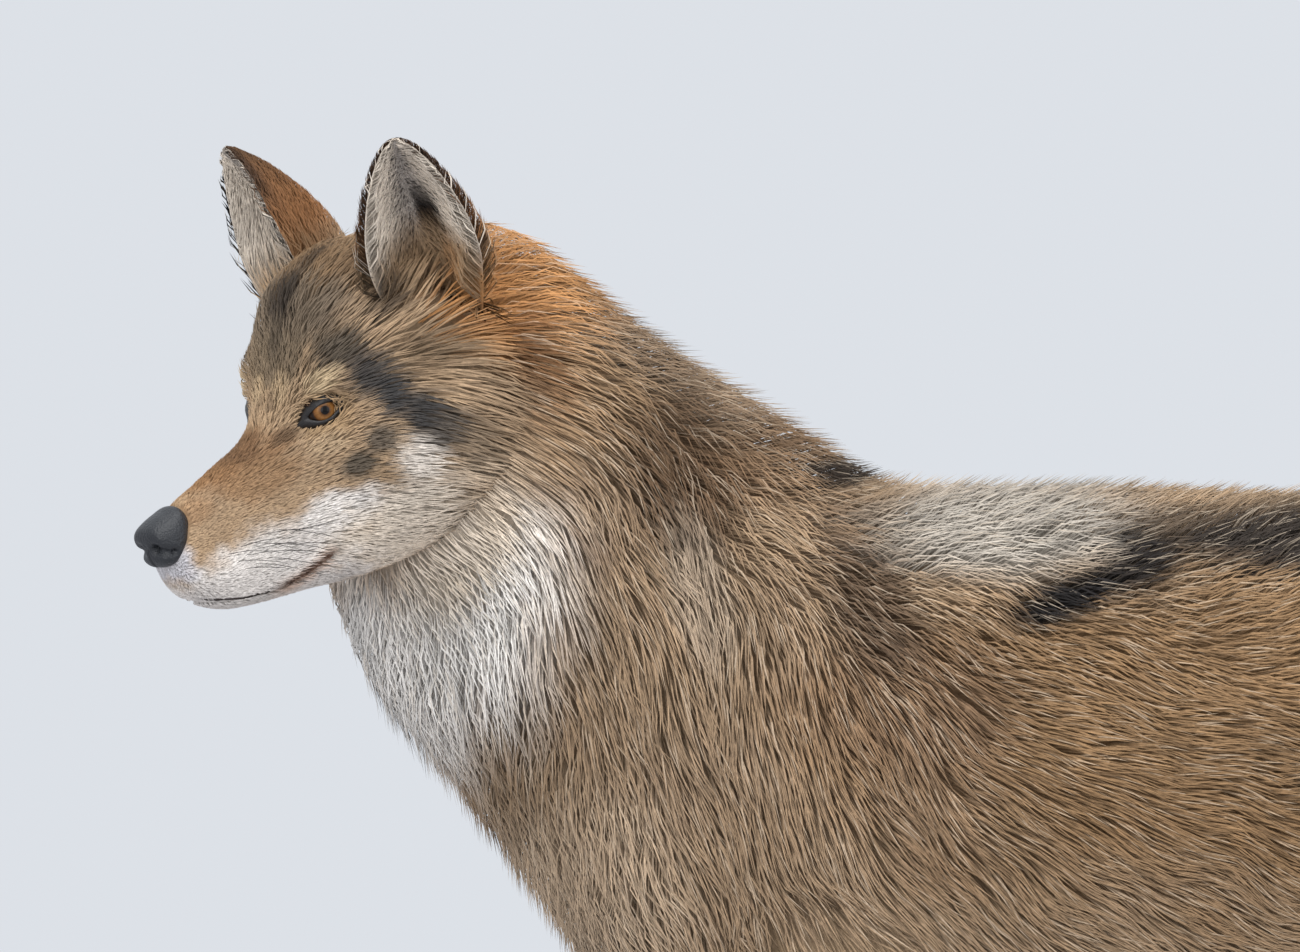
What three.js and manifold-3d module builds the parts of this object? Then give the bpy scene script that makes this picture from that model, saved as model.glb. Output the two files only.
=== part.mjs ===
// A grey wolf in winter coat, standing still, life size, as a closed solid for each named part of the body.
// Millimetres, +Z up, nose towards -X, the wolf's left side towards -Y. The paws stand on Z = 0.
import * as THREE from 'three';
import { mergeVertices } from 'three/addons/utils/BufferGeometryUtils.js';
import Module from 'manifold-3d';

// ---- Driving dimensions -------------------------------------------------------------------------------

const GAP = 0.35; // clearance kept between touching parts
const SHOULDER_HEIGHT = 799; // floor to the fur over the withers
const BACK_HEIGHT = 795;
const CROUP_HEIGHT = 781;
const CHEST_FLOOR = 388; // floor to the fur under the chest
const BELLY_FLOOR = 428;
const CHEST_HALF_WIDTH = 152;

const HEAD = {
  noseTip: [-462, -160, 749.4], // where the tip of the nose is carried
  turnDeg: 36, // the head looks to the wolf's left
  dropDeg: 25, // and the nose is low
  length: 276,
};
const EYE = { back: 134, side: 40, up: 33.5, radius: 12.5, sunk: 10.6 };
const EAR = { length: 102, halfThickness: 2.9 };
const FRONT_FOOT = { x: -6, y: 76 };
const HIND_FOOT = { x: 668, y: 82 };
const FRONT_STEP = { left: -16, right: 14 }; // one forefoot is set a little ahead of the other
const HIND_STEP = { left: 14, right: -18 };
const ANKLE_HEIGHT = 58;
const TAIL_LENGTH = 500;
const CORE_DEPTH = 15; // from the outline of the long coat in to the solid core that its locks grow from
const BEYOND = 1600; // size of a block that reaches past the whole model, for a cut

// Rings and sides of each form.
const FACETS = {
  trunk: [21, 18],
  head: [27, 24],
  ear: [10, 12],
  nose: [8, 14],
  leg: [17, 10],
  toe: [3, 6],
  claw: [3, 4],
  tail: [10, 8],
};

const FUR = { color: 0x9a8064, roughness: 0.85, metalness: 0 };
const HORN = { roughness: 0.5, metalness: 0 };
const COLOURS = {
  head: 0x8d7a62,
  muzzle: 0xd9cdbd,
  neck: 0xa98f70,
  torso: 0x94795a,
  leg: 0xb49a78,
  ear: 0xa06a35,
  tail: 0x8a7256,
  nose: 0x23262b,
  eye: 0xb98a3c,
  claw: 0x2b2622,
};

// ---- Splines and forms --------------------------------------------------------------------------------

const wasm = await Module();
wasm.setup();

// Catmull-Rom value between `from` and `to`.
function blend(before, from, to, after, t) {
  const leave = (to - before) / 2;
  const arrive = (after - from) / 2;
  const t2 = t * t;
  const t3 = t2 * t;
  const cube = 2 * from - 2 * to + leave + arrive;
  const square = 3 * to - 3 * from - 2 * leave - arrive;
  return cube * t3 + square * t2 + leave * t + from;
}

// The row of sizes at s, counted in rows from the first.
function rowAt(rows, s) {
  const last = rows.length - 1;
  const i = THREE.MathUtils.clamp(Math.floor(s), 0, last - 1);
  const spots = [i - 1, i, i + 1, i + 2];
  const [before, from, to, after] = spots.map((k) => rows[THREE.MathUtils.clamp(k, 0, last)]);
  return Object.fromEntries(
    Object.keys(from).map((key) => [key, blend(before[key], from[key], to[key], after[key], s - i)]),
  );
}

// |c| raised so that a circle becomes a squarer outline as `square` passes 2.
function squared(c, square) {
  return Math.sign(c) * Math.abs(c) ** (2 / square);
}

// A closed mesh of rings round a line, with its first and last ring drawn to a point each.
// pointAt(ring, side) places each corner.
function ringMesh(rings, sides, pointAt) {
  const mesh = new THREE.SphereGeometry(1, sides, rings);
  const { uv, position } = mesh.attributes;
  for (let i = 0; i < uv.count; i++) {
    const side = THREE.MathUtils.euclideanModulo(Math.round(uv.getX(i) * sides), sides);
    const p = pointAt(Math.round((1 - uv.getY(i)) * rings), side);
    position.setXYZ(i, p.x, p.y, p.z);
  }
  return mesh;
}

// A size with the skin moved in or out by `swell`, never in by more than two fifths of it.
const padded = (size, swell) => size + Math.max(swell, -0.4 * size);

// A closed form round a run of rows. place(row, c, s, swell) gives the point of a section at cosine c
// (its top) and sine s (its +Y side). Both ends close over `caps` rows, as half an ellipse does.
class Form {
  constructor(rows, place, caps = [0.5, 0.5]) {
    this.rows = rows;
    this.place = place;
    this.caps = caps;
    this.last = rows.length - 1;
  }

  closing(s) {
    const near = Math.min(s / this.caps[0], (this.last - s) / this.caps[1], 1);
    return Math.sqrt(Math.max(0, 1 - (1 - near) ** 2));
  }

  at(s, turn, swell = 0) {
    const size = this.closing(s);
    return this.place(rowAt(this.rows, s), Math.cos(turn) * size, Math.sin(turn) * size, swell);
  }

  // The form as a closed mesh. The rings crowd towards the closed ends.
  geometry([rings, sides], swell = 0) {
    const pointAt = (ring, side) => this.at(this.ringSpot(ring / rings), (side / sides) * 2 * Math.PI, swell);
    return ringMesh(rings, sides, pointAt);
  }

  ringSpot(share) {
    return (this.last * (share + 0.5 - Math.cos(share * Math.PI) / 2)) / 2;
  }
}

// Two numbers as a step from a to b, smooth at both ends.
const ramp = (x, a, b) => THREE.MathUtils.smoothstep(x, a, b);
const vec = (x, y, z) => new THREE.Vector3(x, y, z);
const radians = THREE.MathUtils.degToRad;

// ---- Solids -------------------------------------------------------------------------------------------

// A geometry as a manifold solid with its faces outward.
function solid(geometry) {
  const bare = new THREE.BufferGeometry();
  const loose = geometry.index ? geometry.toNonIndexed() : geometry;
  bare.setAttribute('position', loose.getAttribute('position').clone());
  const merged = mergeVertices(bare, 1e-3);
  const triVerts = Uint32Array.from(merged.index.array);
  const vertProperties = merged.attributes.position.array;
  const make = () => new wasm.Manifold(new wasm.Mesh({ numProp: 3, vertProperties, triVerts }));
  const body = make();
  if (body.volume() >= 0) return body;
  for (let i = 0; i < triVerts.length; i += 3) {
    [triVerts[i + 1], triVerts[i + 2]] = [triVerts[i + 2], triVerts[i + 1]];
  }
  return make();
}

// A solid's surface as a BufferGeometry with shared vertices.
function geometryOf(body) {
  const mesh = body.getMesh();
  const geometry = new THREE.BufferGeometry();
  const points = new Float32Array(mesh.numVert * 3);
  for (let i = 0; i < mesh.numVert; i++) {
    points.set(mesh.vertProperties.subarray(i * mesh.numProp, i * mesh.numProp + 3), i * 3);
  }
  geometry.setAttribute('position', new THREE.BufferAttribute(points, 3));
  geometry.setIndex(new THREE.BufferAttribute(Uint32Array.from(mesh.triVerts), 1));
  return geometry;
}

// The same solid with its skin moved out by GAP, used to cut a neighbour clear of it.
function grown(body) {
  const geometry = geometryOf(body);
  geometry.computeVertexNormals();
  const { position, normal } = geometry.attributes;
  for (let i = 0; i < position.count; i++) {
    position.setXYZ(
      i,
      position.getX(i) + normal.getX(i) * GAP,
      position.getY(i) + normal.getY(i) * GAP,
      position.getZ(i) + normal.getZ(i) * GAP,
    );
  }
  return solid(geometry);
}

const united = (bodies) => bodies.reduce((sum, body) => sum.add(body));
const without = (body, cutters) => cutters.reduce((left, cutter) => left.subtract(cutter), body);

// The largest closed surface of a solid.
function largest(body) {
  const pieces = body.decompose();
  return pieces.reduce((best, piece) => (piece.volume() > best.volume() ? piece : best));
}

function box(size, centre) {
  return solid(new THREE.BoxGeometry(...size).translate(...centre));
}

// All the space under a height, as a block wide enough for one leg.
function below(height) {
  return box([BEYOND, BEYOND, BEYOND], [0, 0, height - BEYOND / 2]);
}

function ellipsoid(centre, radii, sides = 12) {
  const globe = new THREE.SphereGeometry(1, sides, Math.round(sides * 0.7));
  return solid(globe.scale(...radii).translate(...centre));
}

// ---- Trunk: neck and torso ----------------------------------------------------------------------------

// Rows run from rump to head. topX, topZ and lowX, lowZ are the outline of the coat over and under the
// body, half is half the width, side the shift to +Y, yaw the turn of the row in degrees, lean how much
// wider the top is than the middle, and square how full the corners are. The neck turns with the head,
// and the body behind it is straight.
const TRUNK = [
  { topX: 712, topZ: 716, lowX: 690, lowZ: 590, half: 70, lean: 0.05, square: 2.1 },
  { topX: 676, topZ: 757, lowX: 655, lowZ: 510, half: 112, lean: 0.05, square: 2.2 },
  { topX: 600, topZ: CROUP_HEIGHT, lowX: 585, lowZ: 462, half: 134, lean: 0.02, square: 2.2 },
  { topX: 500, topZ: 787, lowX: 500, lowZ: 437, half: 136, lean: 0, square: 2.2 },
  { topX: 390, topZ: 789, lowX: 392, lowZ: BELLY_FLOOR, half: 138, lean: -0.03, square: 2.25 },
  { topX: 270, topZ: 790, lowX: 275, lowZ: 408, half: 146, lean: -0.04, square: 2.25 },
  { topX: 150, topZ: BACK_HEIGHT, lowX: 150, lowZ: 392, half: CHEST_HALF_WIDTH, lean: -0.05, square: 2.25 },
  { topX: 60, topZ: 796, lowX: 30, lowZ: CHEST_FLOOR, half: CHEST_HALF_WIDTH, lean: -0.06, square: 2.2 },
  { topX: 5, topZ: SHOULDER_HEIGHT, lowX: -70, lowZ: 398, half: 150, lean: -0.08, square: 2.15 },
  { topX: -38, topZ: 824, lowX: -150, lowZ: 436, half: 147, lean: -0.1, square: 2.1 },
  { topX: -80, topZ: 853, lowX: -200, lowZ: 500, half: 143, side: -1, yaw: 3, lean: -0.1, square: 2.1 },
  { topX: -122, topZ: 880, lowX: -246, lowZ: 562, half: 139, side: -4, yaw: 8, lean: -0.08, square: 2.1 },
  { topX: -164, topZ: 908, lowX: -288, lowZ: 613, half: 135, side: -9, yaw: 15, lean: -0.05, square: 2.1 },
  { topX: -205, topZ: 940, lowX: -323, lowZ: 661, half: 127, side: -16, yaw: 23, lean: 0, square: 2.1 },
  { topX: -243, topZ: 966, lowX: -343, lowZ: 704, half: 113, side: -24, yaw: 30, lean: 0.02, square: 2.1 },
  { topX: -275, topZ: 968, lowX: -352, lowZ: 748, half: 88, side: -34, yaw: 35, lean: 0.02, square: 2.1 },
].map((row) => ({ side: 0, yaw: 0, ...row }));

function placeTrunk(row, c, s, swell) {
  const yaw = radians(row.yaw);
  const middle = vec((row.topX + row.lowX) / 2, row.side, (row.topZ + row.lowZ) / 2);
  const up = vec(row.topX, row.side, row.topZ).sub(middle);
  const height = up.length();
  const rise = squared(c, row.square);
  const reach = squared(s, row.square) * (1 + row.lean * rise);
  return middle
    .addScaledVector(up, (rise * padded(height, swell)) / height)
    .add(vec(-Math.sin(yaw), Math.cos(yaw), 0).multiplyScalar(reach * padded(row.half, swell)));
}

const trunk = new Form(TRUNK, placeTrunk, [1.1, 0.9]);
const NECK_FROM = 9.4; // the row where the neck node begins
const CHEST_FROM = 6.2; // the row where the chest node begins

// ---- Head ---------------------------------------------------------------------------------------------

// In the head's own frame: +X back from the tip of the nose, +Y to the wolf's right, +Z up.
// back is the distance behind the nose tip, top and low the outline over and under, half is half the width.
const SKULL = [
  { back: 8, top: 0, low: -28, half: 12, lean: -0.1, square: 2.1 },
  { back: 17, top: 10, low: -44, half: 20.5, lean: -0.16, square: 2.15 },
  { back: 34, top: 17, low: -58, half: 26, lean: -0.22, square: 2.3 },
  { back: 54, top: 21, low: -65, half: 29, lean: -0.24, square: 2.3 },
  { back: 76, top: 25, low: -70, half: 33, lean: -0.25, square: 2.3 },
  { back: 96, top: 30, low: -74, half: 39, lean: -0.26, square: 2.25 },
  { back: 112, top: 38, low: -78, half: 47, lean: -0.26, square: 2.2 },
  { back: 128, top: 53, low: -82, half: 58, lean: -0.24, square: 2.2 },
  { back: 144, top: 73, low: -85, half: 70, lean: -0.2, square: 2.2 },
  { back: 164, top: 93, low: -88, half: 82, lean: -0.17, square: 2.15 },
  { back: 188, top: 104, low: -90, half: 91, lean: -0.15, square: 2.1 },
  { back: 214, top: 106, low: -88, half: 96, lean: -0.14, square: 2.1 },
  { back: 244, top: 102, low: -80, half: 91, lean: -0.12, square: 2.1 },
  { back: HEAD.length, top: 85, low: -60, half: 70, lean: -0.1, square: 2.1 },
];

// Swellings and hollows of the head: where, how far they spread, and how high they stand. Each is on
// both sides.
const FEATURES = [
  { back: 141, side: 36, up: 54, spread: 16, rise: 8 }, // brow
  { back: 162, side: 16, up: 88, spread: 30, rise: 8 }, // forehead
  { back: 206, side: 0, up: 108, spread: 44, rise: 16 }, // crown between the ears
  { back: 118, side: 32, up: 30, spread: 11, rise: -4.5 }, // hollow before the eye
  { back: 137, side: 48, up: 31, spread: 13, rise: -4 }, // eye socket
  { back: 158, side: 68, up: 4, spread: 24, rise: 4.5 }, // cheekbone
  { back: 110, side: 42, up: -8, spread: 22, rise: -3.5 }, // hollow under the eye
  { back: 40, side: 26, up: -36, spread: 18, rise: 2.5 }, // upper lip
  { back: 150, side: 0, up: 76, spread: 12, rise: -3 }, // furrow of the forehead
];

// The line of the mouth, seen from the side.
const MOUTH = [
  [2, -38],
  [14, -42],
  [28, -48],
  [44, -54],
  [60, -57.5],
  [76, -58.5],
  [90, -56],
  [104, -50.5],
];
const MOUTH_GAP = 0.9;
// The outline that the lower jaw is parted by.
const JAW = { corner: [116, -72], back: [120, -110], front: -20 };
const LIP = { above: 3.2, spread: 3.6, rise: 1.6 };

const mouthCurve = new THREE.CatmullRomCurve3(MOUTH.map(([back, up]) => vec(back, 0, up)));
const mouthPoints = mouthCurve.getPoints(14);

// Height of the mouth line at a distance behind the nose tip, and how much of a lip is there.
function mouthAt(back) {
  const next = mouthPoints.findIndex((p) => p.x >= back);
  if (next <= 0) return next < 0 ? mouthPoints.at(-1).z : mouthPoints[0].z;
  const [p, q] = [mouthPoints[next - 1], mouthPoints[next]];
  return p.z + ((q.z - p.z) * (back - p.x)) / (q.x - p.x);
}

function placeSkull(row, c, s, swell) {
  const rise = squared(c, row.square);
  const reach = squared(s, row.square) * (1 + row.lean * rise);
  const height = (row.top - row.low) / 2;
  const out = vec(0, reach * (row.half + swell), rise * (height + swell));
  const p = vec(row.back, 0, row.low + height).add(out);
  let lift = 0;
  for (const f of FEATURES) {
    const away = Math.hypot(p.x - f.back, Math.abs(p.y) - f.side, p.z - f.up);
    lift += f.rise * Math.exp(-((away / f.spread) ** 2));
  }
  const lip = Math.exp(-(((p.z - mouthAt(p.x) - LIP.above) / LIP.spread) ** 2));
  lift += LIP.rise * lip * ramp(p.x, 18, 34) * (1 - ramp(p.x, 96, 112)) * Math.min(1, Math.abs(s) * 1.5);
  return p.add(out.normalize().multiplyScalar(lift));
}

const skull = new Form(SKULL, placeSkull, [0.9, 1.3]);

// How the long hair of the cheeks runs back from the head and out over the neck, in rows as on the skull.
const CHEEKS = [
  { back: 140, top: 70, low: -84, half: 66, lean: -0.2, square: 2.2 },
  { back: 180, top: 100, low: -92, half: 92, lean: -0.16, square: 2.1 },
  { back: 220, top: 104, low: -100, half: 117, lean: -0.12, square: 2.1 },
  { back: 260, top: 104, low: -108, half: 138, lean: -0.1, square: 2.1 },
  { back: 300, top: 104, low: -116, half: 150, lean: -0.1, square: 2.1 },
];

// Everything under the mouth line and ahead of its corner, as a slab wider than the muzzle.
function belowMouth(lowered) {
  const outline = new THREE.Shape();
  outline.moveTo(JAW.front, MOUTH[0][1] + 3 - lowered);
  for (const p of mouthPoints) outline.lineTo(p.x - lowered * 0.5, p.z - lowered);
  outline.lineTo(JAW.corner[0] - lowered, JAW.corner[1]);
  outline.lineTo(JAW.back[0] - lowered, JAW.back[1]);
  outline.lineTo(JAW.front, JAW.back[1]);
  const slab = new THREE.ExtrudeGeometry(outline, { depth: 160, bevelEnabled: false, steps: 1 });
  return solid(slab.rotateX(Math.PI / 2).translate(0, 80, 0));
}

// The bare nose: rows as on the skull.
const NOSE = [
  { back: 0, top: 8, low: -11, half: 11, lean: 0.05, square: 2.5 },
  { back: 4, top: 12, low: -15, half: 15.5, lean: 0.05, square: 2.5 },
  { back: 11, top: 14.5, low: -16.5, half: 18, lean: 0, square: 2.4 },
  { back: 19, top: 16, low: -13, half: 18, lean: 0, square: 2.3 },
  { back: 26, top: 17, low: -5, half: 15, lean: 0, square: 2.2 },
  { back: 32, top: 15, low: 0, half: 10, lean: 0, square: 2.1 },
];
const NOSTRIL = { back: 0, side: 8.2, up: -3, radii: [10, 4, 4.4] };
const NOSTRIL_SLIT = { back: 8, side: 17, up: -8.5, radii: [8, 4.6, 2] };
const PHILTRUM = { size: [14, 1.4, 14], centre: [-4, 0, -14] }; // the groove down the front of the nose

function placePlain(row, c, s, swell) {
  const rise = squared(c, row.square);
  const reach = squared(s, row.square) * (1 + row.lean * rise);
  const height = (row.top - row.low) / 2;
  return vec(row.back, reach * (row.half + swell), row.low + height + rise * (height + swell));
}

const cheeks = new Form(CHEEKS, placePlain, [0.01, 0.01]);

function makeNose() {
  const pad = solid(new Form(NOSE, placePlain, [0.8, 0.8]).geometry(FACETS.nose));
  const holes = [-1, 1].flatMap((side) => [
    ellipsoid([NOSTRIL.back, side * NOSTRIL.side, NOSTRIL.up], NOSTRIL.radii, 7),
    ellipsoid([NOSTRIL_SLIT.back, side * NOSTRIL_SLIT.side, NOSTRIL_SLIT.up], NOSTRIL_SLIT.radii, 6),
  ]);
  return without(pad, [...holes, box(PHILTRUM.size, PHILTRUM.centre)]);
}

// ---- Eyes ---------------------------------------------------------------------------------------------

// Frame of an eye: its centre, and the ways out of the head, along the slit to the outer corner, and up.
function eyeFrame(side) {
  const out = vec(-0.5, side * 0.83, 0.24).normalize();
  const along = vec(0.78, side * 0.58, 0.22);
  along.addScaledVector(out, -along.dot(out)).normalize();
  const up = new THREE.Vector3().crossVectors(out, along).multiplyScalar(-side);
  const spot = vec(EYE.back, side * EYE.side, EYE.up).addScaledVector(out, -EYE.sunk);
  return { out, along, up, spot };
}

const LID = { thickness: 2, slitLength: 31, slitHeight: 14 };

// The eyeball, the lids that wrap it, and the almond that opens them.
function makeEye(side) {
  const { out, along, up, spot } = eyeFrame(side);
  const ball = solid(new THREE.IcosahedronGeometry(EYE.radius, 2).translate(...spot));
  const lids = solid(new THREE.IcosahedronGeometry(EYE.radius + LID.thickness, 2).translate(...spot));
  const almond = new THREE.Shape();
  almond.moveTo(-LID.slitLength / 2, -2);
  almond.quadraticCurveTo(-2, LID.slitHeight * 1.05, LID.slitLength / 2, 1);
  almond.quadraticCurveTo(2, -LID.slitHeight * 0.9, -LID.slitLength / 2, -2);
  const through = { depth: 30, bevelEnabled: false, steps: 1, curveSegments: 8 };
  const hole = new THREE.ExtrudeGeometry(almond, through);
  const turn = new THREE.Matrix4().makeBasis(along, up, out);
  turn.setPosition(spot);
  return { ball, lids, opening: solid(hole.applyMatrix4(turn)) };
}

// ---- Ears ---------------------------------------------------------------------------------------------

// Rows from root to tip: up the ear, half the width, how deep the cup is, and how far the ear bows back.
const EAR_ROWS = [
  { up: -26, half: 27, cup: 38, bow: -2 },
  { up: -4, half: 32, cup: 47, bow: 0 },
  { up: 18, half: 35.5, cup: 49, bow: 2 },
  { up: 40, half: 34, cup: 43, bow: 3 },
  { up: 60, half: 28.5, cup: 32, bow: 3 },
  { up: 78, half: 21, cup: 20, bow: 2 },
  { up: 91, half: 13, cup: 9, bow: 0 },
  { up: EAR.length - 2, half: 6, cup: 2, bow: -2 },
];
// Root, tip and the way the cup opens (degrees out from straight ahead), in the head's frame.
const EARS = {
  left: { root: [235, -58, 85], tip: [223, -91, 179], openDeg: -52 },
  right: { root: [226, 57, 84], tip: [219, 90, 179], openDeg: 6 },
};

function earForm({ root, tip, openDeg }) {
  const base = vec(...root);
  const up = vec(...tip).sub(base).normalize();
  const open = vec(-Math.cos(radians(openDeg)), Math.sin(radians(openDeg)), 0);
  open.addScaledVector(up, -open.dot(up)).normalize();
  const across = new THREE.Vector3().crossVectors(up, open);
  const place = (row, c, s, swell) => {
    const slope = (2 * row.cup * c) / row.half;
    const away = across.clone().multiplyScalar(slope).sub(open).normalize();
    return base
      .clone()
      .addScaledVector(up, row.up)
      .addScaledVector(across, row.half * c)
      .addScaledVector(open, -row.cup * (1 - c * c) + row.cup * 0.5 - row.bow)
      .addScaledVector(away, squared(s, 2.6) * (EAR.halfThickness + swell));
  };
  return new Form(EAR_ROWS, place, [0.05, 0.8]);
}

// ---- Legs ---------------------------------------------------------------------------------------------

// Rows run down the leg: x and out are measured from the middle of the foot, long and wide are half sizes.
const FORELEG = [
  { x: -14, out: 2, z: 600, long: 80, wide: 36 },
  { x: 0, out: 10, z: 520, long: 80, wide: 45 },
  { x: 10, out: 9, z: 458, long: 69, wide: 44 },
  { x: 12, out: 5, z: 408, long: 53, wide: 38 },
  { x: 6, out: 2, z: 350, long: 40, wide: 32 },
  { x: 0, out: 0, z: 288, long: 33, wide: 28 },
  { x: -3, out: -1, z: 232, long: 29, wide: 26 },
  { x: -3, out: -2, z: 193, long: 31, wide: 28.5 },
  { x: 1, out: -2, z: 160, long: 28, wide: 26.5 },
  { x: 2, out: -1, z: 118, long: 26.5, wide: 27 },
  { x: -5, out: 0, z: 80, long: 30, wide: 31 },
  { x: -16, out: 0, z: 46, long: 35, wide: 36 },
];
const HINDLEG = [
  { x: -70, out: -34, z: 742, long: 76, wide: 22 },
  { x: -78, out: -4, z: 676, long: 102, wide: 42 },
  { x: -86, out: 13, z: 604, long: 112, wide: 57 },
  { x: -98, out: 17, z: 536, long: 106, wide: 57 },
  { x: -102, out: 15, z: 474, long: 88, wide: 50 },
  { x: -78, out: 9, z: 412, long: 68, wide: 41 },
  { x: -45, out: 4, z: 352, long: 54, wide: 34 },
  { x: -14, out: 1, z: 298, long: 44, wide: 28.5 },
  { x: 10, out: 0, z: 252, long: 37, wide: 25.5 },
  { x: 21, out: 0, z: 218, long: 36.5, wide: 25.5 },
  { x: 23, out: 0, z: 186, long: 30, wide: 24.5 },
  { x: 19, out: 0, z: 142, long: 25.5, wide: 23.5 },
  { x: 10, out: 0, z: 98, long: 25.5, wide: 25.5 },
  { x: 0, out: 0, z: 66, long: 29, wide: 29.5 },
  { x: -10, out: 0, z: 42, long: 32, wide: 31 },
];

const SIDES = { left: -1, right: 1 };
const LEG_SQUARE = 2.15; // how full the corners of a leg's section are

function legForm(rows, side) {
  const place = (row, c, s, swell) => {
    const along = squared(c, LEG_SQUARE) * (row.long + swell);
    const across = squared(s, LEG_SQUARE) * (row.wide + swell);
    return vec(row.x + along, side * row.out + across, row.z);
  };
  return new Form(rows, place, [0.3, 0.3]);
}

// A paw in its own frame: the middle of the foot at the origin, toes towards -X.
const TOES = [
  { y: -27, reach: 18, spreadDeg: -9 },
  { y: -11.5, reach: 0, spreadDeg: -2 },
  { y: 11.5, reach: 0, spreadDeg: 2 },
  { y: 27, reach: 18, spreadDeg: 9 },
];
const TOE_ROWS = [
  { x: 12, z: 34, r: 15, rz: 18 },
  { x: -14, z: 32, r: 16, rz: 24 },
  { x: -36, z: 24, r: 16, rz: 26 },
  { x: -52, z: 16, r: 14, rz: 18 },
  { x: -61, z: 13, r: 8.5, rz: 10 },
];
const CLAW_ROWS = [
  { x: -50, z: 19, r: 5.2 },
  { x: -58, z: 19, r: 5 },
  { x: -66, z: 15, r: 3.8 },
  { x: -72, z: 9, r: 2.2 },
  { x: -74, z: 5, r: 1 },
];

const PALM = { back: 6, up: 22, long: 36, wide: 36, high: 31 };

function placeToe(row, c, s, swell) {
  return vec(row.x, squared(s, 2.1) * (row.r + swell), row.z + squared(c, 2.1) * (row.rz + swell));
}
function placeClaw(row, c, s, swell) {
  return vec(row.x, s * (row.r * 0.75 + swell), row.z + c * (row.r + swell));
}

// Moves a toe or claw from the middle line to its place in the paw.
function setToe(geometry, toe, scale) {
  return geometry
    .rotateZ(-radians(toe.spreadDeg))
    .translate(toe.reach, toe.y, 0)
    .scale(scale, scale, 1);
}

// The dewclaw, on the inner side of the foreleg over the paw.
const DEWCLAW = { x: -14, inset: 4, z: 118, dropDeg: 52 };

function makeDewclaw(side, legHalf) {
  const { x: rootX, z: rootZ } = CLAW_ROWS[0];
  const claw = new Form(CLAW_ROWS, placeClaw, [0.1, 0.3]).geometry(FACETS.claw);
  claw.translate(-rootX, 0, -rootZ).rotateY(-radians(DEWCLAW.dropDeg));
  return solid(claw.translate(DEWCLAW.x, -side * (legHalf - DEWCLAW.inset), DEWCLAW.z));
}

// One paw with its claws, cut flat where it stands.
function makePaw(scale) {
  const toe = new Form(TOE_ROWS, placeToe, [0.6, 0.7]);
  const claw = new Form(CLAW_ROWS, placeClaw, [0.1, 0.3]);
  const toes = TOES.map((place) => solid(setToe(toe.geometry(FACETS.toe), place, scale)));
  const claws = TOES.map((place) => solid(setToe(claw.geometry(FACETS.claw), place, scale)));
  const palmAt = [PALM.back * scale, 0, PALM.up];
  const palm = ellipsoid(palmAt, [PALM.long * scale, PALM.wide * scale, PALM.high], 8);
  return { foot: united([...toes, palm]).subtract(below(0)), claws };
}

// ---- Tail ---------------------------------------------------------------------------------------------

const TAIL = [
  { x: 664, z: 730, r: 27, tilt: 25 },
  { x: 704, z: 712, r: 35, tilt: 42 },
  { x: 737, z: 668, r: 43, tilt: 64 },
  { x: 757, z: 606, r: 51, tilt: 78 },
  { x: 767, z: 532, r: 58, tilt: 86 },
  { x: 770, z: 452, r: 61, tilt: 92 },
  { x: 766, z: 376, r: 56, tilt: 95 },
  { x: 759, z: 310, r: 43, tilt: 97 },
  { x: 752, z: 258, r: 23, tilt: 98 },
  { x: 748, z: 717 - TAIL_LENGTH + 14, r: 7, tilt: 98 },
];

function placeTail(row, c, s, swell) {
  const tilt = radians(row.tilt);
  const r = padded(row.r, swell);
  return vec(row.x + Math.sin(tilt) * c * r, s * r * 0.92, row.z + Math.cos(tilt) * c * r);
}

const tail = new Form(TAIL, placeTail, [0.2, 0.8]);

// ---- Locks of the long coat ---------------------------------------------------------------------------

// A repeatable draw between -1 and 1.
function drawing(seed) {
  let state = seed;
  return () => {
    state = (state * 1664525 + 1013904223) % 4294967296;
    return state / 2147483648 - 1;
  };
}

// The ways over a form's surface at a spot: along its rows, round them, and out.
function surfaceAt(form, s, turn) {
  const probe = 0.01;
  const here = form.at(s, turn);
  const rows = form.at(s + probe, turn).sub(here).divideScalar(probe);
  const round = form.at(s, turn + probe).sub(here).divideScalar(probe);
  return { rows, round, out: new THREE.Vector3().crossVectors(rows, round).normalize() };
}

// s slowed down over the last row at either end, so that it never leaves the form.
function kept(s, last) {
  if (s > last - 1) return last - Math.exp(last - 1 - s);
  return s < 1 ? Math.exp(s - 1) : s;
}

// The spot [s, turn] that is reached by going `move` over the surface.
function spotAfter(form, [s, turn], { rows, round }, move) {
  const [a, b, c] = [rows.lengthSq(), rows.dot(round), round.lengthSq()];
  const [p, q] = [rows.dot(move), round.dot(move)];
  const area = a * c - b * b;
  return [kept(s + (p * c - q * b) / area, form.last), turn + (q * a - p * b) / area];
}

// A lock from root to tip: how far along it is, its shares of the width and the thickness, and how far
// it has risen from the depth of its root to that of its tip.
const LOCK = [
  { along: 0, width: 0, thick: 0, rise: 0 },
  { along: 0.14, width: 0.75, thick: 1, rise: 0.27 },
  { along: 0.42, width: 1, thick: 0.9, rise: 0.78 },
  { along: 0.76, width: 0.56, thick: 0.45, rise: 0.96 },
  { along: 1, width: 0, thick: 0, rise: 1 },
];
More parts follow.
